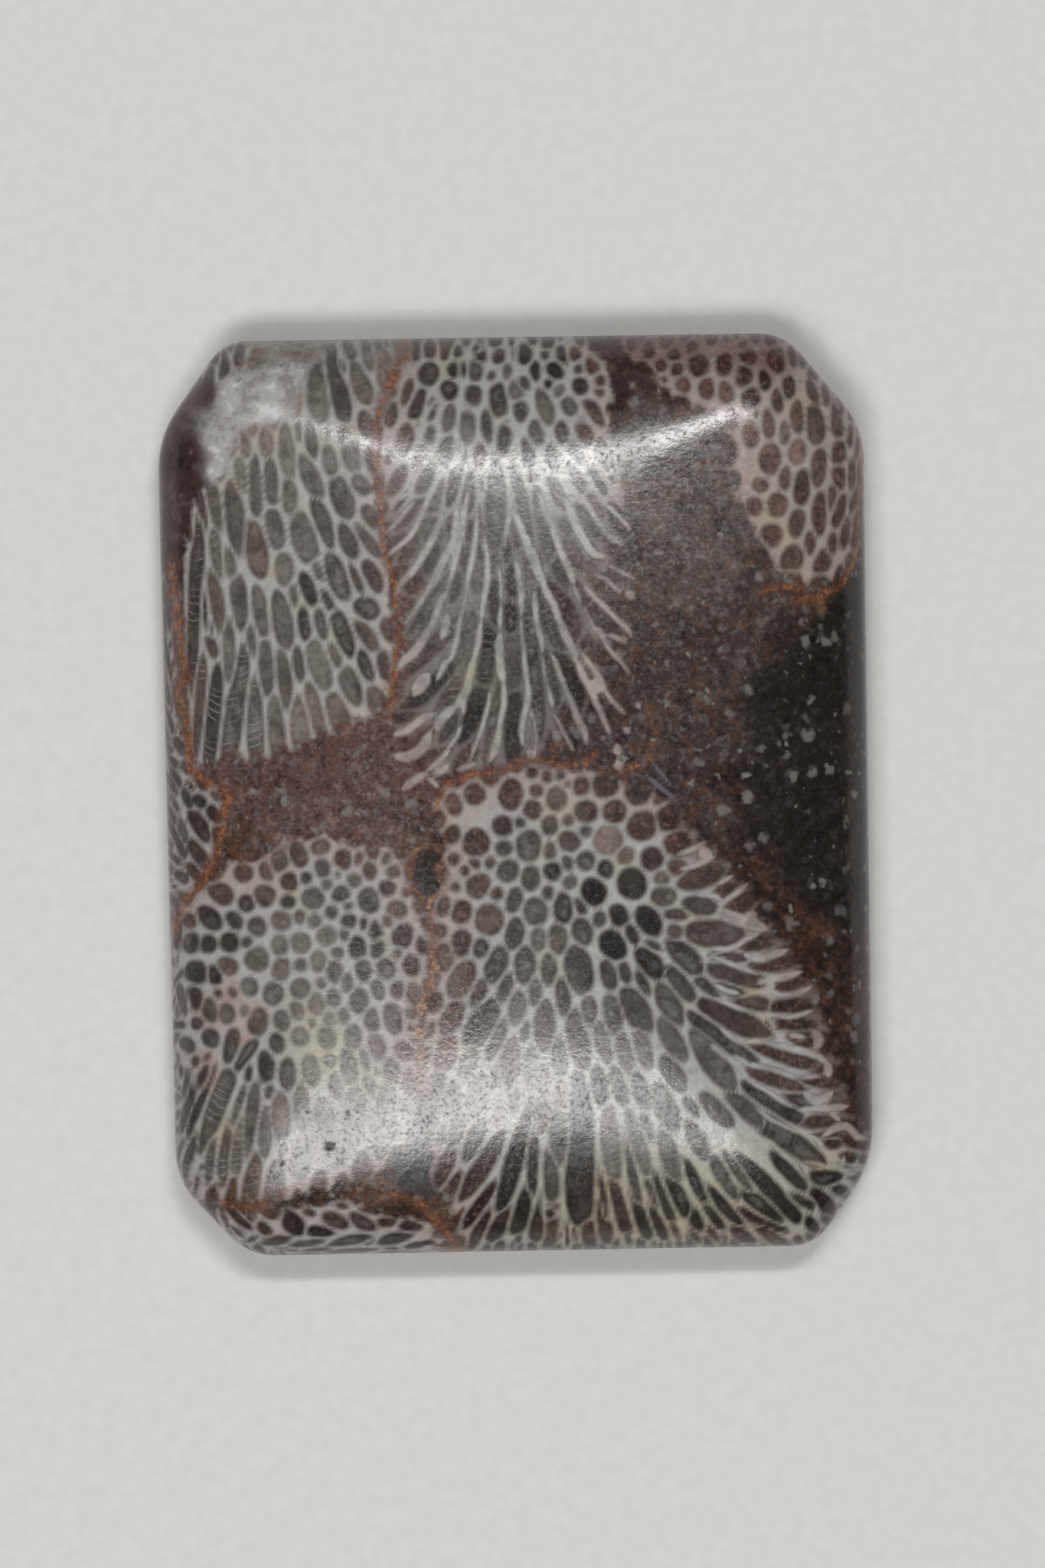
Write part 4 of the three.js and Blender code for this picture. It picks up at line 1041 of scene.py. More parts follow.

# Walls that run on over a long way, and their tips in the mud: half width, and the places that
# each runs through.
STREAKS = (
    # The left half of the fan.
    (0.12, ((-4.1, 13.7), (-4.4, 13.1), (-5.3, 12.6))),
    (0.1, ((-4.2, 12.7), (-4.6, 12.3), (-5, 11.8), (-5.5, 11.3))),
    (0.13, ((-3.5, 13.2), (-3.7, 12.6), (-3.9, 12.1), (-4.2, 11.5), (-4.5, 11.1), (-5, 10.7),
            (-5.4, 10.4))),
    (0.16, ((-2.9, 12.6), (-3.1, 11.8), (-3.4, 11.1), (-3.9, 10.3), (-4.3, 9.7), (-4.6, 9.4),
            (-4.95, 9.1), (-5.1, 8.6))),
    (0.2, ((-2.4, 12.4), (-2.4, 11.6), (-2.5, 11), (-2.9, 10.3), (-3.25, 9.6), (-3.5, 9.1), (-3.8, 8.7))),
    (0.12, ((-3.5, 9.1), (-3.8, 8.7), (-4.1, 8.2), (-4.4, 7.8), (-4.7, 7.4))),
    (0.14, ((-1.9, 13), (-2.1, 12), (-2.2, 11.2), (-2.45, 10.3), (-2.6, 9.7), (-2.75, 9.2),
            (-2.85, 8.8))),
    (0.17, ((-2.85, 8.8), (-3.1, 8.4), (-3.3, 7.9), (-3.5, 7.4), (-3.75, 7))),
    (0.2, ((-3.6, 7.3), (-4, 6.6), (-4.4, 6.1), (-4.8, 5.8), (-5.1, 5.4))),
    (0.2, ((-2.85, 7.8), (-2.95, 7.3), (-3.1, 6.8))),
    (0.12, ((-1.5, 12.2), (-1.55, 11.5), (-1.65, 10.6), (-1.8, 9.9), (-1.95, 9.3), (-2.05, 8.6))),
    (0.13, ((-2.05, 8.6), (-2.25, 7.8), (-2.4, 7.2), (-2.5, 6.6), (-2.65, 6.1), (-2.85, 5.7))),
    (0.14, ((-2.95, 5.8), (-3.15, 5.4), (-3.35, 5))),
    (0.14, ((-1.2, 11), (-1.1, 10.2), (-1.1, 9.5), (-1.15, 9), (-1.25, 8.5), (-1.35, 8), (-1.4, 7.5))),
    (0.14, ((-1.4, 7.5), (-1.5, 7), (-1.55, 6.5), (-1.7, 6), (-1.85, 5.4))),
    (0.2, ((-1.75, 5.8), (-1.95, 5.1), (-2.05, 4.6), (-2.3, 4.2), (-2.6, 3.8))),
    (0.22, ((-2.6, 3.8), (-3, 3.5), (-3.3, 3.2), (-3.4, 2.8))),
    (0.12, ((-2.2, 4.3), (-2.25, 3.8), (-2.25, 3.5))),
    (0.08, ((-0.62, 9.8), (-0.52, 9), (-0.55, 8.4))),
    (0.09, ((-0.55, 8.1), (-0.6, 7.6), (-0.62, 7.1))),
    (0.2, ((-0.6, 6.9), (-0.65, 6.4), (-0.65, 5.8), (-0.62, 5.3), (-0.5, 4.8))),
    (0.13, ((-0.5, 4.9), (-0.48, 4.3), (-0.5, 3.8), (-0.65, 3.2), (-0.75, 2.7))),
    (0.17, ((-0.7, 2.9), (-0.8, 2.3), (-0.95, 1.8), (-1.1, 1.5))),
    (0.1, ((-1.1, 4.4), (-1.15, 3.9), (-1.3, 3.4), (-1.45, 2.9), (-1.6, 2.5), (-1.8, 2), (-1.95, 1.6))),
    (0.1, ((-2.35, 3), (-2.55, 2.5), (-2.8, 2.2), (-3, 1.9))),
    (0.3, ((-4.35, 4.4), (-4.1, 4.75), (-3.75, 5.2))),
    (0.18, ((-5.2, 2.65), (-4.7, 2.8), (-4.3, 3.1), (-3.9, 3.4), (-3.5, 3.5))),
    (0.24, ((-5.25, 1.75), (-4.7, 1.65), (-4.2, 1.9), (-3.9, 2.2), (-3.7, 2.7))),
    (0.13, ((-3.8, 1.1), (-3.4, 1.4), (-3.1, 1.7), (-2.9, 1.9))),
    (0.16, ((-3.5, 0.95), (-3.1, 1.1), (-2.95, 1.35))),
    (0.18, ((-4.9, 0.3), (-4.5, 0.6), (-4.2, 0.8), (-3.95, 0.95))),
    (0.11, ((-3.8, 0.75), (-3.6, 0.55), (-3.4, 0.35))),
    (0.14, ((-2.5, 1.1), (-2.1, 1.2), (-1.8, 1.35))),
    # Its right half, and lumps in the mud beside it.
    (0.1, ((-0.1, 12.7), (-0.12, 12.2), (-0.2, 11.7), (-0.3, 11.1), (-0.35, 10.6))),
    (0.16, ((-0.1, 12.4), (0.2, 11.9), (0.4, 11.4), (0.5, 11), (0.6, 10.6))),
    (0.22, ((0.55, 11.2), (0.65, 10.6), (0.9, 10.2), (1, 9.8), (1.15, 9.4), (1.3, 9))),
    (0.17, ((1.15, 9.4), (1.3, 9), (1.5, 8.5), (1.75, 8.1), (1.9, 7.6), (2.05, 7.2))),
    (0.18, ((1.95, 7.5), (2.2, 6.8), (2.45, 6.3), (2.6, 6), (2.62, 5.6))),
    (0.15, ((0.1, 10.1), (0.2, 9.7), (0.25, 9.2), (0.35, 8.7), (0.35, 8.2), (0.33, 7.7))),
    (0.08, ((0.3, 7.5), (0.33, 6.8), (0.4, 6.3))),
    (0.11, ((0.38, 6.5), (0.42, 5.7), (0.5, 5), (0.58, 4.5))),
    (0.15, ((0.5, 5), (0.58, 4.4), (0.52, 3.9), (0.35, 3.3), (0.25, 2.7), (0.27, 2.1))),
    (0.09, ((0.6, 3.8), (0.8, 3.1), (0.87, 2.4), (0.85, 1.8))),
    (0.2, ((0.5, 1.8), (0.8, 1.6))),
    (0.14, ((0.9, 8.7), (0.93, 8), (0.95, 7.5), (1.05, 7), (1.2, 6.5), (1.2, 6.1))),
    (0.07, ((1.2, 5.9), (1.25, 5.3), (1.4, 4.7))),
    (0.11, ((1.4, 4.6), (1.5, 4.2), (1.6, 3.7))),
    (0.09, ((1.65, 3.4), (1.9, 2.9), (2.1, 2.5), (2.45, 1.85))),
    (0.16, ((1.2, 13), (1.4, 12.3), (1.7, 11.6), (1.85, 11.1), (2, 10.6), (2.15, 10.2))),
    (0.17, ((2, 10.6), (2.15, 10.2), (2.35, 9.8), (2.5, 9.4), (2.6, 9))),
    (0.08, ((2.6, 8.9), (2.75, 8.5), (2.9, 8.15))),
    (0.09, ((3.05, 8), (3.2, 7.6), (3.4, 7.2), (3.65, 6.9), (3.9, 6.5), (4.2, 6), (4.6, 5.6),
            (4.95, 5.1))),
    (0.15, ((3.4, 7.1), (3.7, 6.9), (3.9, 6.6))),
    (0.2, ((2.3, 12.8), (2.6, 11.9), (2.8, 11.4), (3.1, 10.9), (3.3, 10.5), (3.6, 10.25), (4, 10.15))),
    (0.13, ((3, 12.9), (3.5, 12), (3.75, 11.6), (3.95, 11.3), (4.2, 11), (4.5, 10.8), (4.75, 10.7))),
    (0.1, ((3.9, 12.6), (4.5, 12), (4.9, 11.6), (5.1, 11.3))),
    (0.08, ((4, 9.9), (4.3, 9.7), (4.6, 9.5), (5, 9.3), (5.25, 9.2))),
    (0.09, ((3.5, 9.4), (4, 9.2), (4.4, 8.8), (4.65, 8.6))),
    (0.12, ((3.1, 8.9), (3.5, 8.4), (3.9, 8), (4.3, 7.6))),
    (0.13, ((4.1, 7.8), (4.6, 7.3), (4.9, 7), (5.05, 6.7))),
    (0.12, ((4.1, 6.8), (4.5, 6.6), (4.8, 6.5))),
    (0.2, ((4.9, 8.6), (5.2, 8.35))),
    (0.12, ((1.6, 6), (1.8, 5.5), (2, 4.9), (2.2, 4.4), (2.5, 3.7))),
    (0.15, ((2.2, 4.4), (2.5, 3.7), (2.7, 3.1), (2.95, 2.6), (3.05, 2.1))),
    (0.12, ((2.85, 6.1), (3.2, 5.6), (3.6, 5), (3.9, 4.4))),
    (0.11, ((3.6, 4.7), (3.9, 4.3), (4.2, 3.9), (4.65, 3.4))),
    (0.16, ((2.7, 5.7), (2.9, 5.1), (3.15, 4.6), (3.4, 4.1))),
    (0.12, ((3.2, 4.4), (3.4, 4), (3.65, 3.5), (3.9, 2.9), (4.02, 2.55))),
    (0.3, ((3.25, 4.75), (3.65, 4.35))),
    (0.16, ((4.7, 2.75), (4.85, 2.55))),
    (0.2, ((4.35, 2), (4.4, 1.6))),
    (0.22, ((4.35, 1.3), (4.45, 1))),
    (0.1, ((5.25, 3.8), (5.35, 3.6))),
    # The right side of the lower right colony.
    (0.14, ((6.9, -2.75), (7.4, -2.6), (7.8, -2.4), (8.05, -2.25))),
    (0.28, ((7.9, -2.55), (8.1, -2.75), (8.3, -2.95))),
    (0.13, ((7, -3.4), (7.6, -3.25), (8, -3.1), (8.45, -2.9))),
    (0.12, ((8.65, -4.05), (8.9, -3.9), (9.2, -3.75))),
    (0.15, ((7.7, -4.5), (8.1, -4.5), (8.5, -4.6), (8.75, -4.8))),
    (0.14, ((8.75, -4.9), (9.2, -4.6), (9.5, -4.4), (9.85, -4.1))),
    (0.3, ((8.6, -5.2), (9.1, -5.5), (9.7, -5.7), (10.2, -5.9), (10.65, -6.05))),
    (0.26, ((9.8, -5.6), (10.2, -5.4))),
    (0.13, ((8.2, -6.85), (9, -6.9), (9.4, -6.75), (9.8, -6.45), (10.3, -6.3))),
    (0.19, ((9.7, -7.1), (10.1, -7.3), (10.5, -7.35), (11, -7.15), (11.55, -7))),
    (0.12, ((7.8, -7.4), (8.3, -7.2), (8.8, -7.4), (9.3, -7.6), (9.8, -7.8), (10.3, -8))),
    (0.18, ((10.3, -8.35), (10.9, -8.2), (11.4, -8.15), (11.8, -8.05), (12.15, -7.95))),
    (0.2, ((10.8, -8.8), (10.85, -8.3))),
    (0.13, ((8.4, -8.4), (8.9, -8.7), (9.4, -8.8))),
    (0.14, ((9.8, -8.8), (10.3, -8.75), (10.9, -8.85), (11.4, -8.95), (11.9, -8.9), (12.3, -8.75),
            (12.6, -8.6))),
    (0.12, ((8.4, -9), (9, -9.25), (9.4, -9.45), (9.85, -9.6))),
    (0.14, ((10.1, -9.7), (10.6, -9.8), (10.85, -10.1), (11, -10.5))),
    (0.11, ((11.1, -9.85), (11.6, -9.9), (12.1, -9.8), (12.6, -9.65))),
    (0.14, ((8.6, -10.3), (9.1, -10.7), (9.5, -10.95), (9.9, -10.9), (10.6, -10.9), (11.1, -10.6))),
    (0.17, ((10.6, -11), (11.3, -11.15), (11.9, -11.3), (12.4, -11.45), (12.9, -11.65), (13.3, -12))),
    (0.22, ((12.7, -10.5), (12.9, -10.9), (12.8, -11.3))),
    (0.12, ((11.6, -10.65), (12.3, -10.8))),
    (0.15, ((8.2, -11), (8.8, -11.5), (9.3, -11.9), (9.6, -12.3), (9.9, -12.7))),
    (0.12, ((9.8, -12.6), (10.3, -12.9), (10.8, -13.2), (11.2, -13.5), (11.7, -13.8))),
    (0.14, ((9.2, -11.5), (9.8, -11.9), (10.3, -12), (10.8, -12.1), (11.3, -12.3), (11.8, -12.5),
            (12.3, -12.5), (12.9, -12.5))),
    (0.19, ((13.25, -11.9), (13.3, -12.5))),
    (0.22, ((12.2, -13.2), (12.8, -13.6), (13.2, -13.4), (13.45, -13.2))),
    (0.17, ((12, -13.95), (12.7, -13.9), (13.3, -13.9), (14.1, -13.85))),
    (0.12, ((13.3, -14), (13.75, -14.45))),
    (0.1, ((10.1, -13.8), (10.7, -14.3), (11.3, -14.6), (11.8, -14.85), (12.4, -15.05))),
    (0.14, ((12.2, -14.95), (12.8, -15.3), (13, -15.7), (13.4, -15.9), (13.8, -15.75))),
    (0.17, ((13, -15.1), (13.5, -14.8), (14, -14.7), (14.3, -14.9), (14.5, -15.2), (14.95, -15.3))),
    (0.13, ((10.2, -15), (10.8, -15.4), (11.2, -15.8), (11.7, -16.2), (12, -16.6), (12.25, -17))),
    (0.11, ((12, -16.2), (12.7, -16.3), (13.2, -16.5), (13.8, -16.6))),
    (0.14, ((13.9, -16), (13.8, -16.5), (14.1, -16.85), (14.6, -16.7))),
)

# Stains that colour the tubes and their walls, and the painted highlight: places where the wash
# of the lower highlight is painted over the pattern as an even grey.
# Each kind has its colour and its strength in the walls and in the tubes.
TINT_COLOURS = {
    "red": dict(colour=(150, 92, 84), walls=0.42, tubes=0.14),
    "cream": dict(colour=(168, 154, 112), walls=0.42, tubes=0.14),
    "pink": dict(colour=(166, 142, 138), walls=0.42, tubes=0.14),
    # painted highlight: the even grey that the lower highlight's wash lays over the pattern
    "wear_and_sheen": dict(colour=(128, 122, 114), walls=0.6, tubes=0.7),
    "rusty": dict(colour=(74, 38, 32), walls=0.6, tubes=0.5),
    "soiled": dict(colour=(66, 56, 50), walls=0.75, tubes=0.75),
}

# Where the stains and the painted highlight wash lie, from the lowest layer to the highest: their
# kind, and the place and reach of each.
TINTS = (
    ("red", (
        (-13.3, -9.2, 0.8), (-12.1, -10.4, 0.5), (-13.7, -11.3, 0.5), (-13.4, -12.2, 0.5),
        (-12.5, -8.4, 0.5), (-11.5, -9.3, 0.5),
    )),
    ("pink", ((-11.5, -3.0, 1.5), (-4.6, 2.8, 1.2), (-4.6, 0.3, 1.2))),
    ("cream", (
        (-8.6, -11.0, 1.5), (-13.0, -14.5, 0.9), (-5.2, 4.6, 0.5), (11.9, 10.9, 0.5), (12.2, 9.3, 0.6),
        (11.2, 11.8, 0.5), (12.4, 16.6, 0.6), (10.1, -8.7, 0.5), (10.2, -10.3, 0.6), (-0.5, -18.7, 0.5),
        (0.9, -19.0, 0.5), (3.5, -17.1, 0.4), (6.6, -18.9, 0.5), (3.5, -18.0, 3.0), (9.0, -18.6, 3.0),
        (-10.3, 9.9, 0.4), (-11.9, 13.6, 0.4), (-1.6, 5.0, 1.0), (1.7, -0.6, 0.8), (4.5, -3.1, 0.5),
        (12.9, -16.4, 0.8),
    )),
    # Painted highlight: the wash of the lower highlight, painted as an even grey over the pattern.
    ("wear_and_sheen", ((-9.2, -14.4, 1.0), (-6.7, -14.4, 1.3), (-4.8, -13.9, 1.3))),
    ("rusty", (
        (5.8, 19.6, 1.2), (7.8, 19.6, 1.2), (9.8, 19.4, 1.1), (11.4, 18.8, 1.0), (4.0, 19.9, 0.7),
    )),
    ("soiled", (
        (-8.3, -15.0, 0.8), (-7.6, -13.8, 0.6), (-8.9, -14.0, 0.35), (-10.4, -15.9, 0.25),
        (-3.9, -14.9, 0.25),
    )),
    # Painted highlight: more of the lower highlight's wash, painted as an even grey.
    ("wear_and_sheen", ((-6.3, -13.1, 1.0), (-3.0, -13.5, 1.2), (-1.2, -13.2, 1.1), (0.6, -13.0, 1.0))),
)

# The dark blotch beside the middle, pits in the polish with their radius, and the two long
# pale-blue crystals below the right of the middle.
BLOTCH = ((-4.2, -2.25), (-3.5, -2.3), (-3.15, -2.6), (-3.6, -3.1), (-3.5, -3.5), (-3.2, -3.9),
          (-3.8, -4.5), (-4.4, -4.2), (-4.6, -3.6), (-4.6, -2.8))
PITS = ((-8.4, -15.1, 0.3), (-7.6, -13.7, 0.24), (-10.45, -15.9, 0.15), (-3.5, -14.9, 0.16),
        (-9.3, -13.6, 0.12), (-5.9, -15.3, 0.1))
SPINDLES = (((5.75, 1.4), (6.75, 0.1), 0.11), ((5.45, 0.8), (6.95, -0.5), 0.13))

FAN = list(COLONIES).index("upper middle")
FAN_FADE = (13.4, 11.6)  # between these places along the stone the fan's other walls fade,
FADED_WALLS = 0.35  # until they are this strong
FRINGED = list(COLONIES).index("lower right")
FRINGE_FADE = (1.5, 0.5)  # between these depths inside this colony its other walls fade too,
FRINGE_SIDE = (6.3, 7.3)  # to the right of these places across the stone
FRINGE_END = -16.5  # and above this one along it

GROUND_MERGING = 0.05  # added to the squared distance from a ground's place
GROUND_FALL = 2.5  # the power with which a ground gives way to the next
FAR_OFF = 9.0  # what a point gets that lies near no strip or crystal,
THIN_STRIP = 0.1  # and the half width of the strip that it gets
TIP_TAPER = 0.9  # how much of a tapered strip's width, squared, its tips lose
COLONY_MARGIN = 0.8  # how far past its outline a colony's tubes are followed


def ground_attributes(x, y):
    """Three colours, grains and veins of the ground at each point, blended between its places."""
    strength = np.zeros((len(x), len(GROUNDS)))
    for index, ground in enumerate(GROUNDS.values()):
        for place_x, place_y, reach in ground["places"]:
            gap = (x - place_x) ** 2 + (y - place_y) ** 2
            strength[:, index] += (reach**2 / (gap + GROUND_MERGING)) ** GROUND_FALL
    strength /= strength.sum(axis=1, keepdims=True)
    tones = np.array([linear(ground["tones"]) for ground in GROUNDS.values()])
    habits = strength @ np.array([ground["habit"] for ground in GROUNDS.values()])
    return [strength @ tones[:, k] for k in range(3)], habits


def strip_attributes(x, y, strips, tapered):
    """How each point lies to the nearest of some winding strips.

    Returns the distance to the strip's middle with its side as the sign, how far outside the
    strip the point is, the strip's half width there, and then which strip it is.
    """
    outside = np.full(len(x), FAR_OFF)
    found = np.tile([FAR_OFF, FAR_OFF, THIN_STRIP], (len(x), 1))
    which = np.zeros(len(x), int)
    for index, (half_width, places) in enumerate(strips):
        runs = np.hypot(*np.diff(places, axis=0).T)
        shares = np.concatenate([[0], np.cumsum(runs)]) / runs.sum()
        for start, end, low, high in zip(places, places[1:], shares, shares[1:]):
            gap, along = segment_distance(x, y, start, end)
            width = np.full(len(x), half_width)
            if tapered:
                from_middle = 2 * (low + along * (high - low)) - 1
                width *= np.sqrt(1 - from_middle**4 * TIP_TAPER)
            side = (end[0] - start[0]) * (y - start[1]) - (end[1] - start[1]) * (x - start[0])
            closer = gap - width < outside
            signed = np.where(side < 0, -gap, gap)
            found[closer] = np.stack([signed, gap - width, width], axis=1)[closer]
            which[closer] = index
            outside = np.minimum(outside, gap - width)
    return found, which


def tinted(colour, x, y, part):
    """A colour in sRGB with the stains and painted highlight wash over it, as strong as they are in this
    part.
    """
    for name, places in TINTS:
        stain = TINT_COLOURS[name]
        for place_x, place_y, reach in places:
            fading = np.exp(-((x - place_x) ** 2 + (y - place_y) ** 2) / reach**2)
            colour = mixed(colour, stain["colour"], stain[part] * fading)
    return colour


def blotch_depth(x, y):
    """How deep each point lies in the blotch or in one of the pits."""
    depth = depth_inside(x, y, rounded(BLOTCH))
    for pit_x, pit_y, radius in PITS:
        depth = np.maximum(depth, radius - np.hypot(x - pit_x, y - pit_y))
    return depth


def spindle_depth(x, y):
    """How deep each point lies in one of the two long crystals."""
    depth = np.full(len(x), -FAR_OFF)
    for start, end, half_width in SPINDLES:
        run = np.array(end) - np.array(start)
        length = np.hypot(*run)
        along = ((x - start[0]) * run[0] + (y - start[1]) * run[1]) / length
        taper = 1 - (2 * along / length - 1) ** 2
        side = np.abs((x - start[0]) * run[1] - (y - start[1]) * run[0]) / length
        depth = np.maximum(depth, half_width * np.sqrt(np.maximum(taper, 0)) - side)
    return depth


def wall_strength(x, y, home, inside):
    """How strong the walls between tubes are, where the long walls take their place."""
    fan = smooth_step(y, *FAN_FADE) * (home == FAN)
    fringe = smooth_step(inside, *FRINGE_FADE) * smooth_step(x, *FRINGE_SIDE)
    fringe *= (home == FRINGED) * (y > FRINGE_END)
    return 1 - (1 - FADED_WALLS) * np.maximum(fan, fringe)


def nearest_colonies(x, y):
    """Which colony each point lies in or nearest to, and how deep inside its outline."""
    depths = [depth_inside(x, y, colony["edge"]) for colony in COLONIES.values()]
    return np.argmax(depths, axis=0), np.max(depths, axis=0)


def tube_attributes(colony, points, normals, inside, rng):
    """What a colony's tubes give the points that lie this deep inside its outline."""
    tubes = Tubes(colony)
    tubes.relax(rng)
    low = points[:, 2] < LOW_PART
    if low.any():
        tubes.fill_rest(points[low], rng)
    depth, along, across, owner = tubes.section(points, normals)

    # What each tube holds. Those at the colony's edge are open, and hold the mud that lies outside.
    centre_x, centre_y = tubes.centre[:, 0], tubes.centre[:, 1]
    count = len(centre_x)
    rim = depth_inside(centre_x, centre_y, colony["edge"])
    base, fringe = colony["brown"]
    fading = np.exp(-np.maximum(rim - CLEAN_START[0], 0) / colony["fringe"])
    brown = np.clip(base + fringe * fading + rng.normal(0, MUD_SPREAD, count), 0, 1)
    closed = smooth_step(rim + rng.normal(0, MUD_SPREAD, count), *OPEN_EDGE)
    dark = growth(colony, centre_x, centre_y)[4] + rng.normal(0, DARKNESS_SPREAD, count)
    dark[: tubes.mark_count] = np.asarray(colony["marks"])[:, 5]
    dark = np.clip(dark, 0, 1)
    chance = rng.uniform(0, 1, count)
    holds = mixed(mixed(*CLEAN_FILLING, dark), mixed(*MUDDY_FILLING, dark), brown)

    # Only tubes that the surface cuts long and wide show their cross partitions.
    widest = np.zeros(count)
    np.maximum.at(widest, owner, depth)
    many = (chance > 1 - PARTITIONED) | (tubes.stretch > PARTITIONED_LENGTH)
    ladder = colony["ladder"] * np.where(many, 1.0, FAINT_PARTITIONS)
    ladder *= smooth_step(widest, *PARTITION_DEPTHS)
    ladder *= smooth_step(tubes.stretch, *PARTITION_LENGTHS)

    stained = base + fringe * np.exp(-np.maximum(inside - CLEAN_START[1], 0) / WALL_FRINGE)
    walls = mixed(CLEAN_WALL, MUDDY_WALL, np.clip(stained, 0, 1))
    x, y = points[:, 0], points[:, 1]
    vectors = {
        "tube": np.stack([along, across, chance[owner]], axis=1),
        "edges": np.stack([depth, inside, np.full(len(x), colony["wall"])], axis=1),
        "habit": np.stack([ladder, colony["open"] * (1 - closed), brown], axis=1)[owner],
    }
    colours = {
        "filling": linear(tinted(holds[owner], x, y, "tubes")),
        "wall": linear(tinted(walls, x, y, "walls")),
    }
    return vectors, colours


def pattern(points, normals):
    """Every attribute of the fossil's pattern, for each vertex of the stone."""
    rng = np.random.default_rng(SEED)
    x, y = points[:, 0], points[:, 1]
    for colony in COLONIES.values():
        colony["edge"] = rounded(colony["outline"])
    home, inside = nearest_colonies(x, y)
    vectors = {name: np.zeros((len(points), 3)) for name in ("tube", "edges", "habit")}
    vectors["edges"][:, 1] = inside
    colours = {"filling": np.zeros((len(points), 3))}
    colours["wall"] = np.tile(linear(MUDDY_WALL), (len(points), 1))
    for index, colony in enumerate(COLONIES.values()):
        mine = np.flatnonzero((home == index) & (inside > -COLONY_MARGIN))
        found = tube_attributes(colony, points[mine], normals[mine], inside[mine], rng)
        for kept, fresh in zip((vectors, colours), found):
            for name, values in fresh.items():
                kept[name][mine] = values

    tones, vectors["ground"] = ground_attributes(x, y)
    vectors["seam"], which = strip_attributes(x, y, [seam[1:] for seam in SEAMS], False)
    vectors["streak"], _ = strip_attributes(x, y, STREAKS, True)
    accents = (blotch_depth(x, y), spindle_depth(x, y), wall_strength(x, y, home, inside))
    vectors["accents"] = np.stack(accents, axis=1)
    colours["ground_dark"], colours["ground_middle"], colours["ground_light"] = tones
    colours["seam_colour"] = np.array([linear(SEAM_COLOURS[seam[0]]) for seam in SEAMS])[which]
    return vectors, colours


# ---------------------------------------------------------------- material

# The mudstone's rust at the side of a vein and inside it, its bluish patches, hollows and pale lumps.
RUST = (106, 73, 55)
BRIGHT_RUST = (142, 94, 64)
BLUISH = (118, 117, 119)
HOLLOW = (34, 27, 25)
PALE_LUMP = (124, 118, 113)
CRUMB_TONES = ((88, 86, 86), (136, 133, 127))
CRUMBS = ((1.5, 0.42), (2.9, 0.4))  # how many places for crumbs to a millimetre, and how many are full
CRUMB_SIZE = 0.3
WARP = 0.7  # how far the crumbs and veins are bent

PALE_HEART = (122, 121, 117)
TUBE_RIM = (62, 51, 44)
MUD_SPECKS = ((130, 101, 92), (50, 36, 32))
PARTITION = (158, 156, 149)
PARTITIONS_PER_MM = 3.1
PARTITION_TILT = 0.4

WALL_RIM = (118, 111, 104)
MILKY_WALL = (186, 187, 183)
SHADED_WALL = (126, 120, 113)
CREAM_WALL = (168, 156, 122)
STRIP_TOLERANCE = 0.035

SEAM_HALO = (98, 62, 48)
BLOTCH_TONES = ((27, 25, 24), (56, 53, 51))
SPINDLE = (100, 99, 107)

# How high the parts of the relief stand, in millimetres, and how dull the polish is at its best and
# at its worst, with what is added where it is worn, scratched or eaten into pits.
SPARKLE_RELIEF = 0.006
SWELL_RELIEF = 0.006
SCRATCH_RELIEF = 0.0014
FILLING_RELIEF = -0.0015
POLISHED = 0.12
SCUFFED = 0.42
WORN = 0.08
SCRATCHED = 0.04
PITTED = 0.35
PITTED_END = (-10.0, -12.0)  # the pits lie below this, and the polished blotch above it
SCRATCH_COMBING = (0.9, 6.0, 0.9)


MIX_INPUTS = (0, 6, 7)  # the sockets of a mix node for the share and the two colours
MIX_OUTPUT = 2


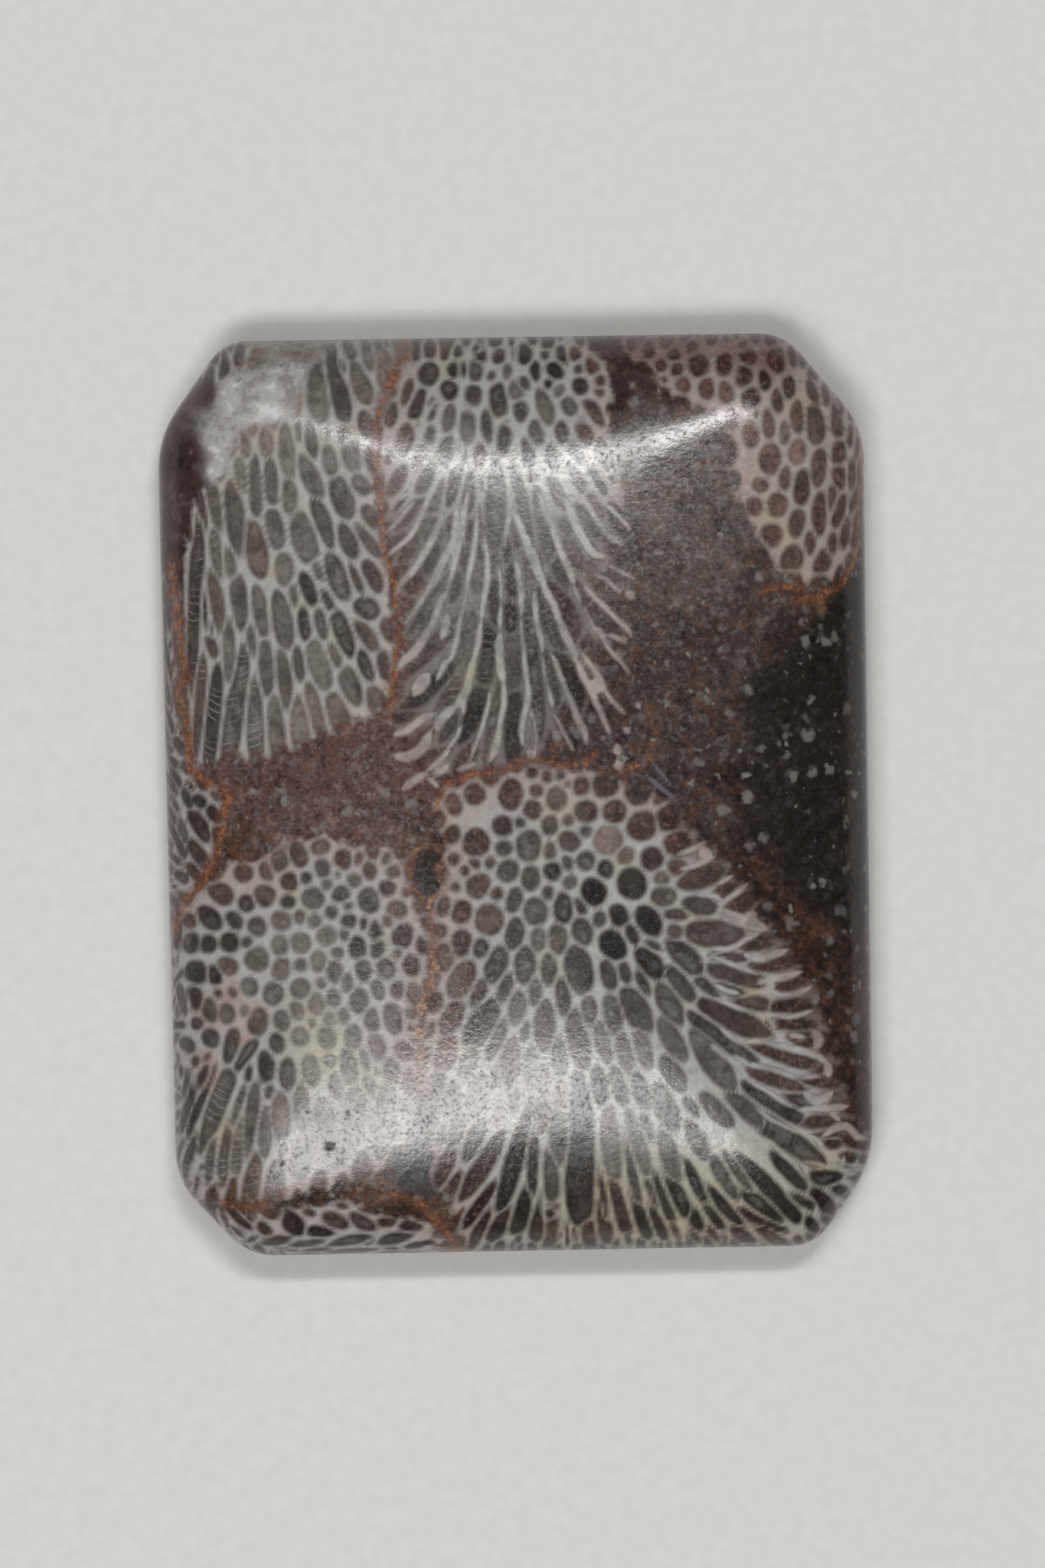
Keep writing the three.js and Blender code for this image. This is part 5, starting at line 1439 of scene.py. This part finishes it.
class Wiring:
    """Short calls for making and joining shader nodes."""

    def __init__(self, tree):
        self.tree = tree
        tree.nodes.clear()

    def feed(self, socket, value):
        if isinstance(value, bpy.types.NodeSocket):
            self.tree.links.new(value, socket)
        else:
            socket.default_value = value

    def node(self, kind, inputs=(), **settings):
        made = self.tree.nodes.new(kind)
        for name, value in settings.items():
            setattr(made, name, value)
        for key, value in dict(inputs).items():
            self.feed(made.inputs[key], value)
        return made

    def math(self, operation, *values):
        return self.node("ShaderNodeMath", dict(enumerate(values)), operation=operation).outputs[0]

    def add(self, first, *others):
        for other in others:
            first = self.math("ADD", first, other)
        return first

    def minus(self, first, second):
        return self.math("SUBTRACT", first, second)

    def times(self, first, *others):
        for other in others:
            first = self.math("MULTIPLY", first, other)
        return first

    def vector(self, operation, *values):
        inputs = dict(enumerate(values))
        return self.node("ShaderNodeVectorMath", inputs, operation=operation).outputs[0]

    def scaled(self, vector, factor):
        inputs = {0: vector, "Scale": factor}
        return self.node("ShaderNodeVectorMath", inputs, operation="SCALE").outputs[0]

    def step(self, value, low, high, start=0.0, end=1.0):
        """Goes smoothly from start to end while the value goes from low to high."""
        inputs = {"Value": value, "From Min": low, "From Max": high, "To Min": start, "To Max": end}
        return self.node("ShaderNodeMapRange", inputs, interpolation_type="SMOOTHSTEP").outputs[0]

    def blend(self, share, first, second):
        """A share of the second colour over the first. Colours given as numbers are in sRGB."""
        made = self.node("ShaderNodeMix", data_type="RGBA")
        for socket, value in zip(MIX_INPUTS, (share, first, second)):
            if isinstance(value, tuple):
                value = (*linear(value), 1.0)
            self.feed(made.inputs[socket], value)
        return made.outputs[MIX_OUTPUT]

    def noises(self, where, scale, detail=2.0, roughness=0.5, distortion=0.0):
        """Noise round 0.5, as one number and as three. The scale is in swells to a millimetre."""
        inputs = {"Vector": where, "Scale": scale, "Detail": detail, "Roughness": roughness}
        inputs["Distortion"] = distortion
        return self.node("ShaderNodeTexNoise", inputs).outputs

    def noise(self, *settings):
        return self.noises(*settings)[0]

    def cells(self, where, scale):
        """The distance to the nearest of many scattered points, and that point's three chances."""
        made = self.node("ShaderNodeTexVoronoi", {"Vector": where, "Scale": scale})
        return made.outputs["Distance"], self.parts(made.outputs["Color"])

    def parts(self, vector):
        return self.node("ShaderNodeSeparateXYZ", {0: vector}).outputs

    def stored(self, name):
        """The three numbers that the mesh keeps under a name."""
        return self.parts(self.node("ShaderNodeAttribute", attribute_name=name).outputs["Vector"])

    def stored_colour(self, name):
        return self.node("ShaderNodeAttribute", attribute_name=name).outputs["Color"]


def ground_colour(w, where):
    """Mudstone: mottled mud with rusty and bluish patches, soft pale lumps and crisp crumbs."""
    grains, veins, gritty = w.stored("ground")
    patch = w.noise(where, 0.8, 3.0, 0.6)
    mottle = w.noise(where, 2.4, 3.0, 0.65)
    grit = w.noise(where, 6.0, 2.0, 0.6)
    soft = w.add(w.times(patch, 1.15), w.times(mottle, 0.6))
    rough = w.add(w.times(patch, 0.5), w.times(mottle, 0.9), w.times(grit, 0.35))
    tone = w.add(soft, w.times(w.minus(rough, soft), gritty))
    dark, middle, light = (w.stored_colour(f"ground_{name}") for name in ("dark", "middle", "light"))
    colour = w.blend(w.step(tone, 0.68, 0.88), dark, middle)
    colour = w.blend(w.step(tone, 0.9, 1.1), colour, light)

    warp = w.vector("SUBTRACT", w.noises(where, 1.8, 3.0)[1], (0.5, 0.5, 0.5))
    bent = w.vector("ADD", where, w.scaled(warp, WARP))
    drift = w.minus(w.noise(where, 0.6, 2.0, 0.5, 0.6), 0.5)
    rust = w.add(w.noise(bent, 1.8, 4.0, 0.68), w.times(drift, 0.35))
    colour = w.blend(w.times(w.step(rust, 0.47, 0.64), veins), colour, RUST)
    colour = w.blend(w.times(w.step(rust, 0.62, 0.76), veins), colour, BRIGHT_RUST)
    elsewhere = w.vector("ADD", bent, (7.0, 3.0, 5.0))
    bluish = w.step(w.noise(elsewhere, 2.6, 3.0, 0.6), 0.52, 0.68)
    colour = w.blend(w.times(bluish, w.step(grains, 0.1, 0.4, 0.0, 0.4)), colour, BLUISH)
    elsewhere = w.vector("ADD", bent, (2.0, 8.0, 1.0))
    hollows = w.step(w.noise(elsewhere, 3.4, 3.0, 0.7), 0.44, 0.3)
    colour = w.blend(w.times(hollows, w.times(gritty, 0.45)), colour, HOLLOW)

    distance, chances = w.cells(bent, 1.1)
    present = w.step(w.add(chances[0], grains), 0.98, 1.08)
    colour = w.blend(w.times(w.step(distance, 0.4, 0.16, 0.0, 0.7), present), colour, PALE_LUMP)
    for scale, fullness in CRUMBS:
        distance, chances = w.cells(bent, scale)
        present = w.step(w.add(chances[0], w.times(grains, fullness)), 0.92, 0.98)
        size = w.times(w.add(chances[1], 0.5), CRUMB_SIZE)
        ragged = w.add(distance, w.times(grit, 0.16))
        inside = w.minus(w.add(size, 0.08), ragged)
        shown = w.times(w.step(inside, -0.1, 0.2), present, 0.7)
        colour = w.blend(shown, colour, w.blend(chances[2], *CRUMB_TONES))
    return colour


def partition_lines(w, where, tube):
    """Thin lines across a tube, tilted, a little bowed and only in stretches."""
    along, across, chance = tube
    tilt = w.times(across, w.step(chance, 0.0, 1.0, -PARTITION_TILT, PARTITION_TILT))
    bow = w.times(across, across, 0.5)
    drift = w.times(w.noise(where, 0.9, 2.0), 0.6)
    turns = w.times(w.add(along, tilt, bow, drift), PARTITIONS_PER_MM)
    turn = w.math("FRACT", w.add(turns, w.times(chance, 7.0)))
    line = w.step(w.math("ABSOLUTE", w.minus(turn, 0.5)), 0.15, 0.02)
    return w.times(line, w.step(w.noise(where, 1.1, 2.0), 0.42, 0.62))


def filling_colour(w, where, inside, tube, habit):
    """What a tube holds: soft clouds, a brown rim, a paler heart in some, and cross partitions."""
    ladder, _, brown = habit
    cloud = w.noise(where, 1.5, 3.0, 0.6)
    grain = w.noise(where, 4.5, 3.0, 0.6)
    speck = w.noise(where, 3.6, 3.0, 0.7)
    dirty = w.step(brown, 0.25, 0.75)
    tone = w.add(w.step(cloud, 0.3, 0.7, 0.74, 1.3), w.step(grain, 0.3, 0.7, -0.14, 0.16))
    colour = w.scaled(w.stored_colour("filling"), tone)
    heart = w.times(w.step(tube[2], 0.35, 0.9), w.step(inside, 0.08, 0.4), w.minus(1.0, dirty))
    heart = w.times(heart, w.step(cloud, 0.4, 0.65, 0.0, 0.45))
    colour = w.blend(heart, colour, PALE_HEART)
    colour = w.blend(w.step(inside, 0.26, 0.0, 0.0, 0.24), colour, TUBE_RIM)
    colour = w.blend(w.times(w.step(speck, 0.5, 0.66, 0.0, 0.45), dirty), colour, MUD_SPECKS[0])
    colour = w.blend(w.times(w.step(speck, 0.48, 0.34, 0.0, 0.5), dirty), colour, MUD_SPECKS[1])
    shown = w.times(partition_lines(w, where, tube), ladder, w.step(inside, 0.03, 0.12), 0.5)
    return w.blend(shown, colour, PARTITION)


def wall_colour(w, where, inside):
    """Tube walls: whitest in the middle, with cream stains and milky patches."""
    cloud = w.noise(where, 2.6, 3.0, 0.6)
    tint = w.noise(where, 0.45, 2.0)
    colour = w.blend(w.step(inside, -0.14, 0.04, 0.0, 0.45), w.stored_colour("wall"), WALL_RIM)
    colour = w.blend(w.step(cloud, 0.54, 0.76, 0.0, 0.5), colour, MILKY_WALL)
    colour = w.blend(w.step(cloud, 0.5, 0.3, 0.0, 0.4), colour, SHADED_WALL)
    return w.blend(w.step(tint, 0.58, 0.74, 0.0, 0.3), colour, CREAM_WALL)


def strip_gap(w, name):
    """How far outside the nearest strip of a kind a point lies.

    The mesh blurs this distance over a thin strip by up to its tolerance. The signed distance to
    the strip's middle stays sharp there, but jumps between strips, so it only corrects the first.
    """
    side, outside, half_width = w.stored(name)
    sharp = w.minus(w.math("ABSOLUTE", side), half_width)
    least = w.minus(outside, STRIP_TOLERANCE)
    return w.math("MAXIMUM", least, w.math("MINIMUM", sharp, outside))


def with_seams(w, where, colour, ragged, crumbly):
    """A colour with the seams over it: a dull halo, and a crumbly core that is bright in places."""
    gap = w.add(strip_gap(w, "seam"), w.times(ragged, 0.5), w.times(crumbly, 0.6))
    colour = w.blend(w.step(gap, 0.3, 0.0, 0.0, 0.35), colour, SEAM_HALO)
    core = w.step(gap, 0.06, -0.08, 0.0, 0.8)
    broken = w.step(w.noise(where, 1.7, 3.0, 0.6), 0.38, 0.6, 0.1, 1.0)
    stain = w.stored_colour("seam_colour")
    tone = w.blend(w.step(crumbly, -0.12, 0.1), w.scaled(stain, 1.25), w.scaled(stain, 0.5))
    return w.blend(w.times(core, broken), colour, tone)


def polish(w, where, inside, dark):
    """How dull the polished surface is, and its fine relief."""
    sparkle = w.noise(where, 4.6, 2.0, 0.7)
    swell = w.noise(where, 1.5, 2.0, 0.5)
    scratch = w.noise(w.vector("MULTIPLY", where, SCRATCH_COMBING), 1.1, 3.0, 0.7)
    relief = w.add(w.times(sparkle, SPARKLE_RELIEF), w.times(swell, SWELL_RELIEF))
    relief = w.add(relief, w.times(scratch, SCRATCH_RELIEF))
    relief = w.add(relief, w.times(w.step(inside, -0.1, 0.1), FILLING_RELIEF))
    bump = w.node("ShaderNodeBump", {"Height": relief, "Distance": MM, "Strength": 1.0})
    scuffed = w.step(w.noise(where, 5.5, 4.0, 0.75), 0.48, 0.7, POLISHED, SCUFFED)
    wear_and_sheen = w.step(w.noise(where, 0.35, 2.0), 0.4, 0.65, 0.0, WORN)
    scratched = w.step(scratch, 0.5, 0.66, 0.0, SCRATCHED)
    pitted = w.times(dark, w.step(w.parts(where)[1], *PITTED_END, 0.0, PITTED))
    return w.add(scuffed, wear_and_sheen, scratched, pitted), bump.outputs[0]


def fossil_material():
    """The polished stone: tubes and walls in their colonies, mudstone between, stained seams."""
    material = bpy.data.materials.new("fossil_polish")
    material.use_nodes = True
    w = Wiring(material.node_tree)
    where = w.scaled(w.node("ShaderNodeTexCoord").outputs["Object"], 1 / MM)
    depth, colony, half_wall = w.stored("edges")
    blotch, spindle, solid = w.stored("accents")
    tube, habit = w.stored("tube"), w.stored("habit")

    wobble = w.minus(w.noise(where, 2.6, 3.0, 0.55), 0.5)
    ragged = w.minus(w.noise(where, 1.6, 5.0, 0.7), 0.5)
    crumbly = w.minus(w.noise(where, 5.0, 3.0, 0.7), 0.5)
    inside = w.minus(w.add(depth, w.times(wobble, 0.16)), half_wall)
    edge = w.add(colony, w.times(ragged, 1.2))

    filled = w.times(w.step(edge, -0.15, 0.3), w.minus(1.0, habit[1]))
    filling = filling_colour(w, where, inside, tube, habit)
    colour = w.blend(filled, ground_colour(w, where), filling)
    walled = w.times(w.step(inside, 0.14, -0.11), w.step(edge, -0.35, 0.15), solid)
    beside = w.add(strip_gap(w, "streak"), w.times(ragged, 0.16))
    milky = w.step(w.noise(where, 0.8, 2.0), 0.36, 0.58, 0.6, 1.0)
    walled = w.math("MAXIMUM", walled, w.times(w.step(beside, 0.1, -0.1), milky))
    colour = w.blend(walled, colour, wall_colour(w, where, w.math("MINIMUM", inside, beside)))

    colour = with_seams(w, where, colour, ragged, crumbly)
    dark = w.step(w.add(blotch, w.times(wobble, 0.5)), -0.04, 0.16, 0.0, 0.85)
    colour = w.blend(dark, colour, w.blend(w.step(crumbly, -0.1, 0.2), *BLOTCH_TONES))
    colour = w.blend(w.step(spindle, -0.02, 0.06, 0.0, 0.8), colour, SPINDLE)

    dull, relief = polish(w, where, inside, dark)
    inputs = {"Base Color": colour, "Roughness": dull, "Normal": relief, "IOR": 1.5}
    shader = w.node("ShaderNodeBsdfPrincipled", inputs)
    w.node("ShaderNodeOutputMaterial", {"Surface": shader.outputs[0]})
    return material


# ---------------------------------------------------------------- the piece


def dressed_stone():
    """The fine mesh that stands for the solid, with its pattern and material."""
    points, faces, sheet = stone_mesh()
    low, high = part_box("fossil_stone")
    points = np.clip(points, np.array(low) / MM, np.array(high) / MM)
    mesh = bpy.data.meshes.new("polished_fossil")
    mesh.from_pydata((points * MM).tolist(), [], faces)
    mesh.shade_smooth()
    mesh.update()
    normals = np.zeros(len(points) * 3, np.float32)
    mesh.vertices.foreach_get("normal", normals)
    vectors, colours = pattern(points, normals.reshape(-1, 3).astype(float))
    for name, values in vectors.items():
        layer = mesh.attributes.new(name, "FLOAT_VECTOR", "POINT")
        layer.data.foreach_set("vector", values.astype(np.float32).ravel())
    for name, values in colours.items():
        layer = mesh.attributes.new(name, "FLOAT_COLOR", "POINT")
        full = np.concatenate([values, np.ones((len(values), 1))], axis=1)
        layer.data.foreach_set("color", full.astype(np.float32).ravel())
    places = mesh.uv_layers.new(name="OFBake")
    flat = np.array([place for face in sheet for place in face], np.float32)
    places.data.foreach_set("uv", flat.ravel())
    mesh.materials.append(fossil_material())
    stone = bpy.data.objects.new("polished_fossil", mesh)
    bpy.context.scene.collection.objects.link(stone)
    return stone


# ---------------------------------------------------------------- the studio

VIEW_HEIGHT = 68.49  # what the picture takes in from top to bottom, at the girdle
LENS = 200.0
SENSOR = 36.0
AIM = (0.242, 0.414)  # the point under the middle of the picture
ROLL = 1.05  # degrees that the stone is turned counter-clockwise in the picture

# Soft lights: how many degrees each leans from straight above towards +Y, how far along X it stands
# and its size, in metres, and how bright it is.
LIGHTS = {
    "lower_light": dict(lean=-24.6, across=-0.07, size=(0.36, 0.11), radiance=10.2),
    "lower_centre": dict(lean=-25.0, across=-0.03, size=(0.13, 0.1), radiance=3.4),
    "lower_left_high": dict(lean=-32.0, across=-0.15, size=(0.24, 0.07), radiance=7.5),
    "lower_left_low": dict(lean=-16.0, across=-0.21, size=(0.14, 0.1), radiance=7.0),
    "upper_light": dict(lean=26.0, across=0.045, size=(0.3, 0.04), radiance=21.5),
    "upper_right": dict(lean=26.0, across=0.08, size=(0.14, 0.09), radiance=13.0),
    "upper_right_glow": dict(lean=23.0, across=0.12, size=(0.1, 0.06), radiance=5.0),
    "upper_glow": dict(lean=21.0, across=-0.01, size=(0.26, 0.1), radiance=2.2),
}
LIGHT_DISTANCE = 0.6
NEAREST_VIEW = 0.01
SKY = (0.95, 0.97, 1.0, 1.0)
SKY_STRENGTH = 0.07
FLOOR_REACH = 1.5  # metres to each side
FLOOR_TONES = ((212, 211, 208), (217, 216, 213))
FLOOR_ROUGHNESS = 0.85


def studio():
    """The camera over the stone, the lights and the floor."""
    scene = bpy.context.scene
    scene.view_settings.view_transform = "Standard"
    camera = bpy.data.objects.new("camera", bpy.data.cameras.new("camera"))
    camera.data.lens = LENS
    camera.data.sensor_width = SENSOR
    distance = LENS * VIEW_HEIGHT / SENSOR
    camera.location = (AIM[0] * MM, AIM[1] * MM, (GIRDLE_TOP + distance) * MM)
    camera.rotation_euler = (0, 0, -math.radians(ROLL))
    camera.data.clip_start = NEAREST_VIEW
    scene.collection.objects.link(camera)
    scene.camera = camera

    world = bpy.data.worlds.new("studio")
    world.use_nodes = True
    world.node_tree.nodes["Background"].inputs["Color"].default_value = SKY
    world.node_tree.nodes["Background"].inputs["Strength"].default_value = SKY_STRENGTH
    scene.world = world
    for name, settings in LIGHTS.items():
        softbox(name, **settings)

    mesh = bpy.data.meshes.new("floor")
    corners = [(x * FLOOR_REACH, y * FLOOR_REACH, 0) for x, y in ((-1, -1), (1, -1), (1, 1), (-1, 1))]
    mesh.from_pydata(corners, [], [(0, 1, 2, 3)])
    mesh.materials.append(floor_material())
    floor = bpy.data.objects.new("floor", mesh)
    scene.collection.objects.link(floor)


def softbox(name, lean, across, size, radiance):
    """A soft light that looks down at the stone from where it leans."""
    light = bpy.data.lights.new(name, "AREA")
    light.shape = "RECTANGLE"
    light.size, light.size_y = size
    light.energy = radiance * math.pi * size[0] * size[1]
    made = bpy.data.objects.new(name, light)
    angle = math.radians(lean)
    made.location = (across, LIGHT_DISTANCE * math.sin(angle), LIGHT_DISTANCE * math.cos(angle))
    made.rotation_euler = (-angle, 0, 0)
    bpy.context.scene.collection.objects.link(made)


def floor_material():
    material = bpy.data.materials.new("pale_floor")
    material.use_nodes = True
    w = Wiring(material.node_tree)
    where = w.scaled(w.node("ShaderNodeTexCoord").outputs["Object"], 1 / MM)
    fibre = w.noise(where, 1.5, 4.0, 0.6)
    colour = w.blend(w.step(fibre, 0.3, 0.7), *FLOOR_TONES)
    shader = w.node("ShaderNodeBsdfPrincipled", {"Base Color": colour, "Roughness": FLOOR_ROUGHNESS})
    w.node("ShaderNodeOutputMaterial", {"Surface": shader.outputs[0]})
    return material


studio()
stone = dressed_stone()
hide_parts("fossil_stone")
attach(stone, "root")
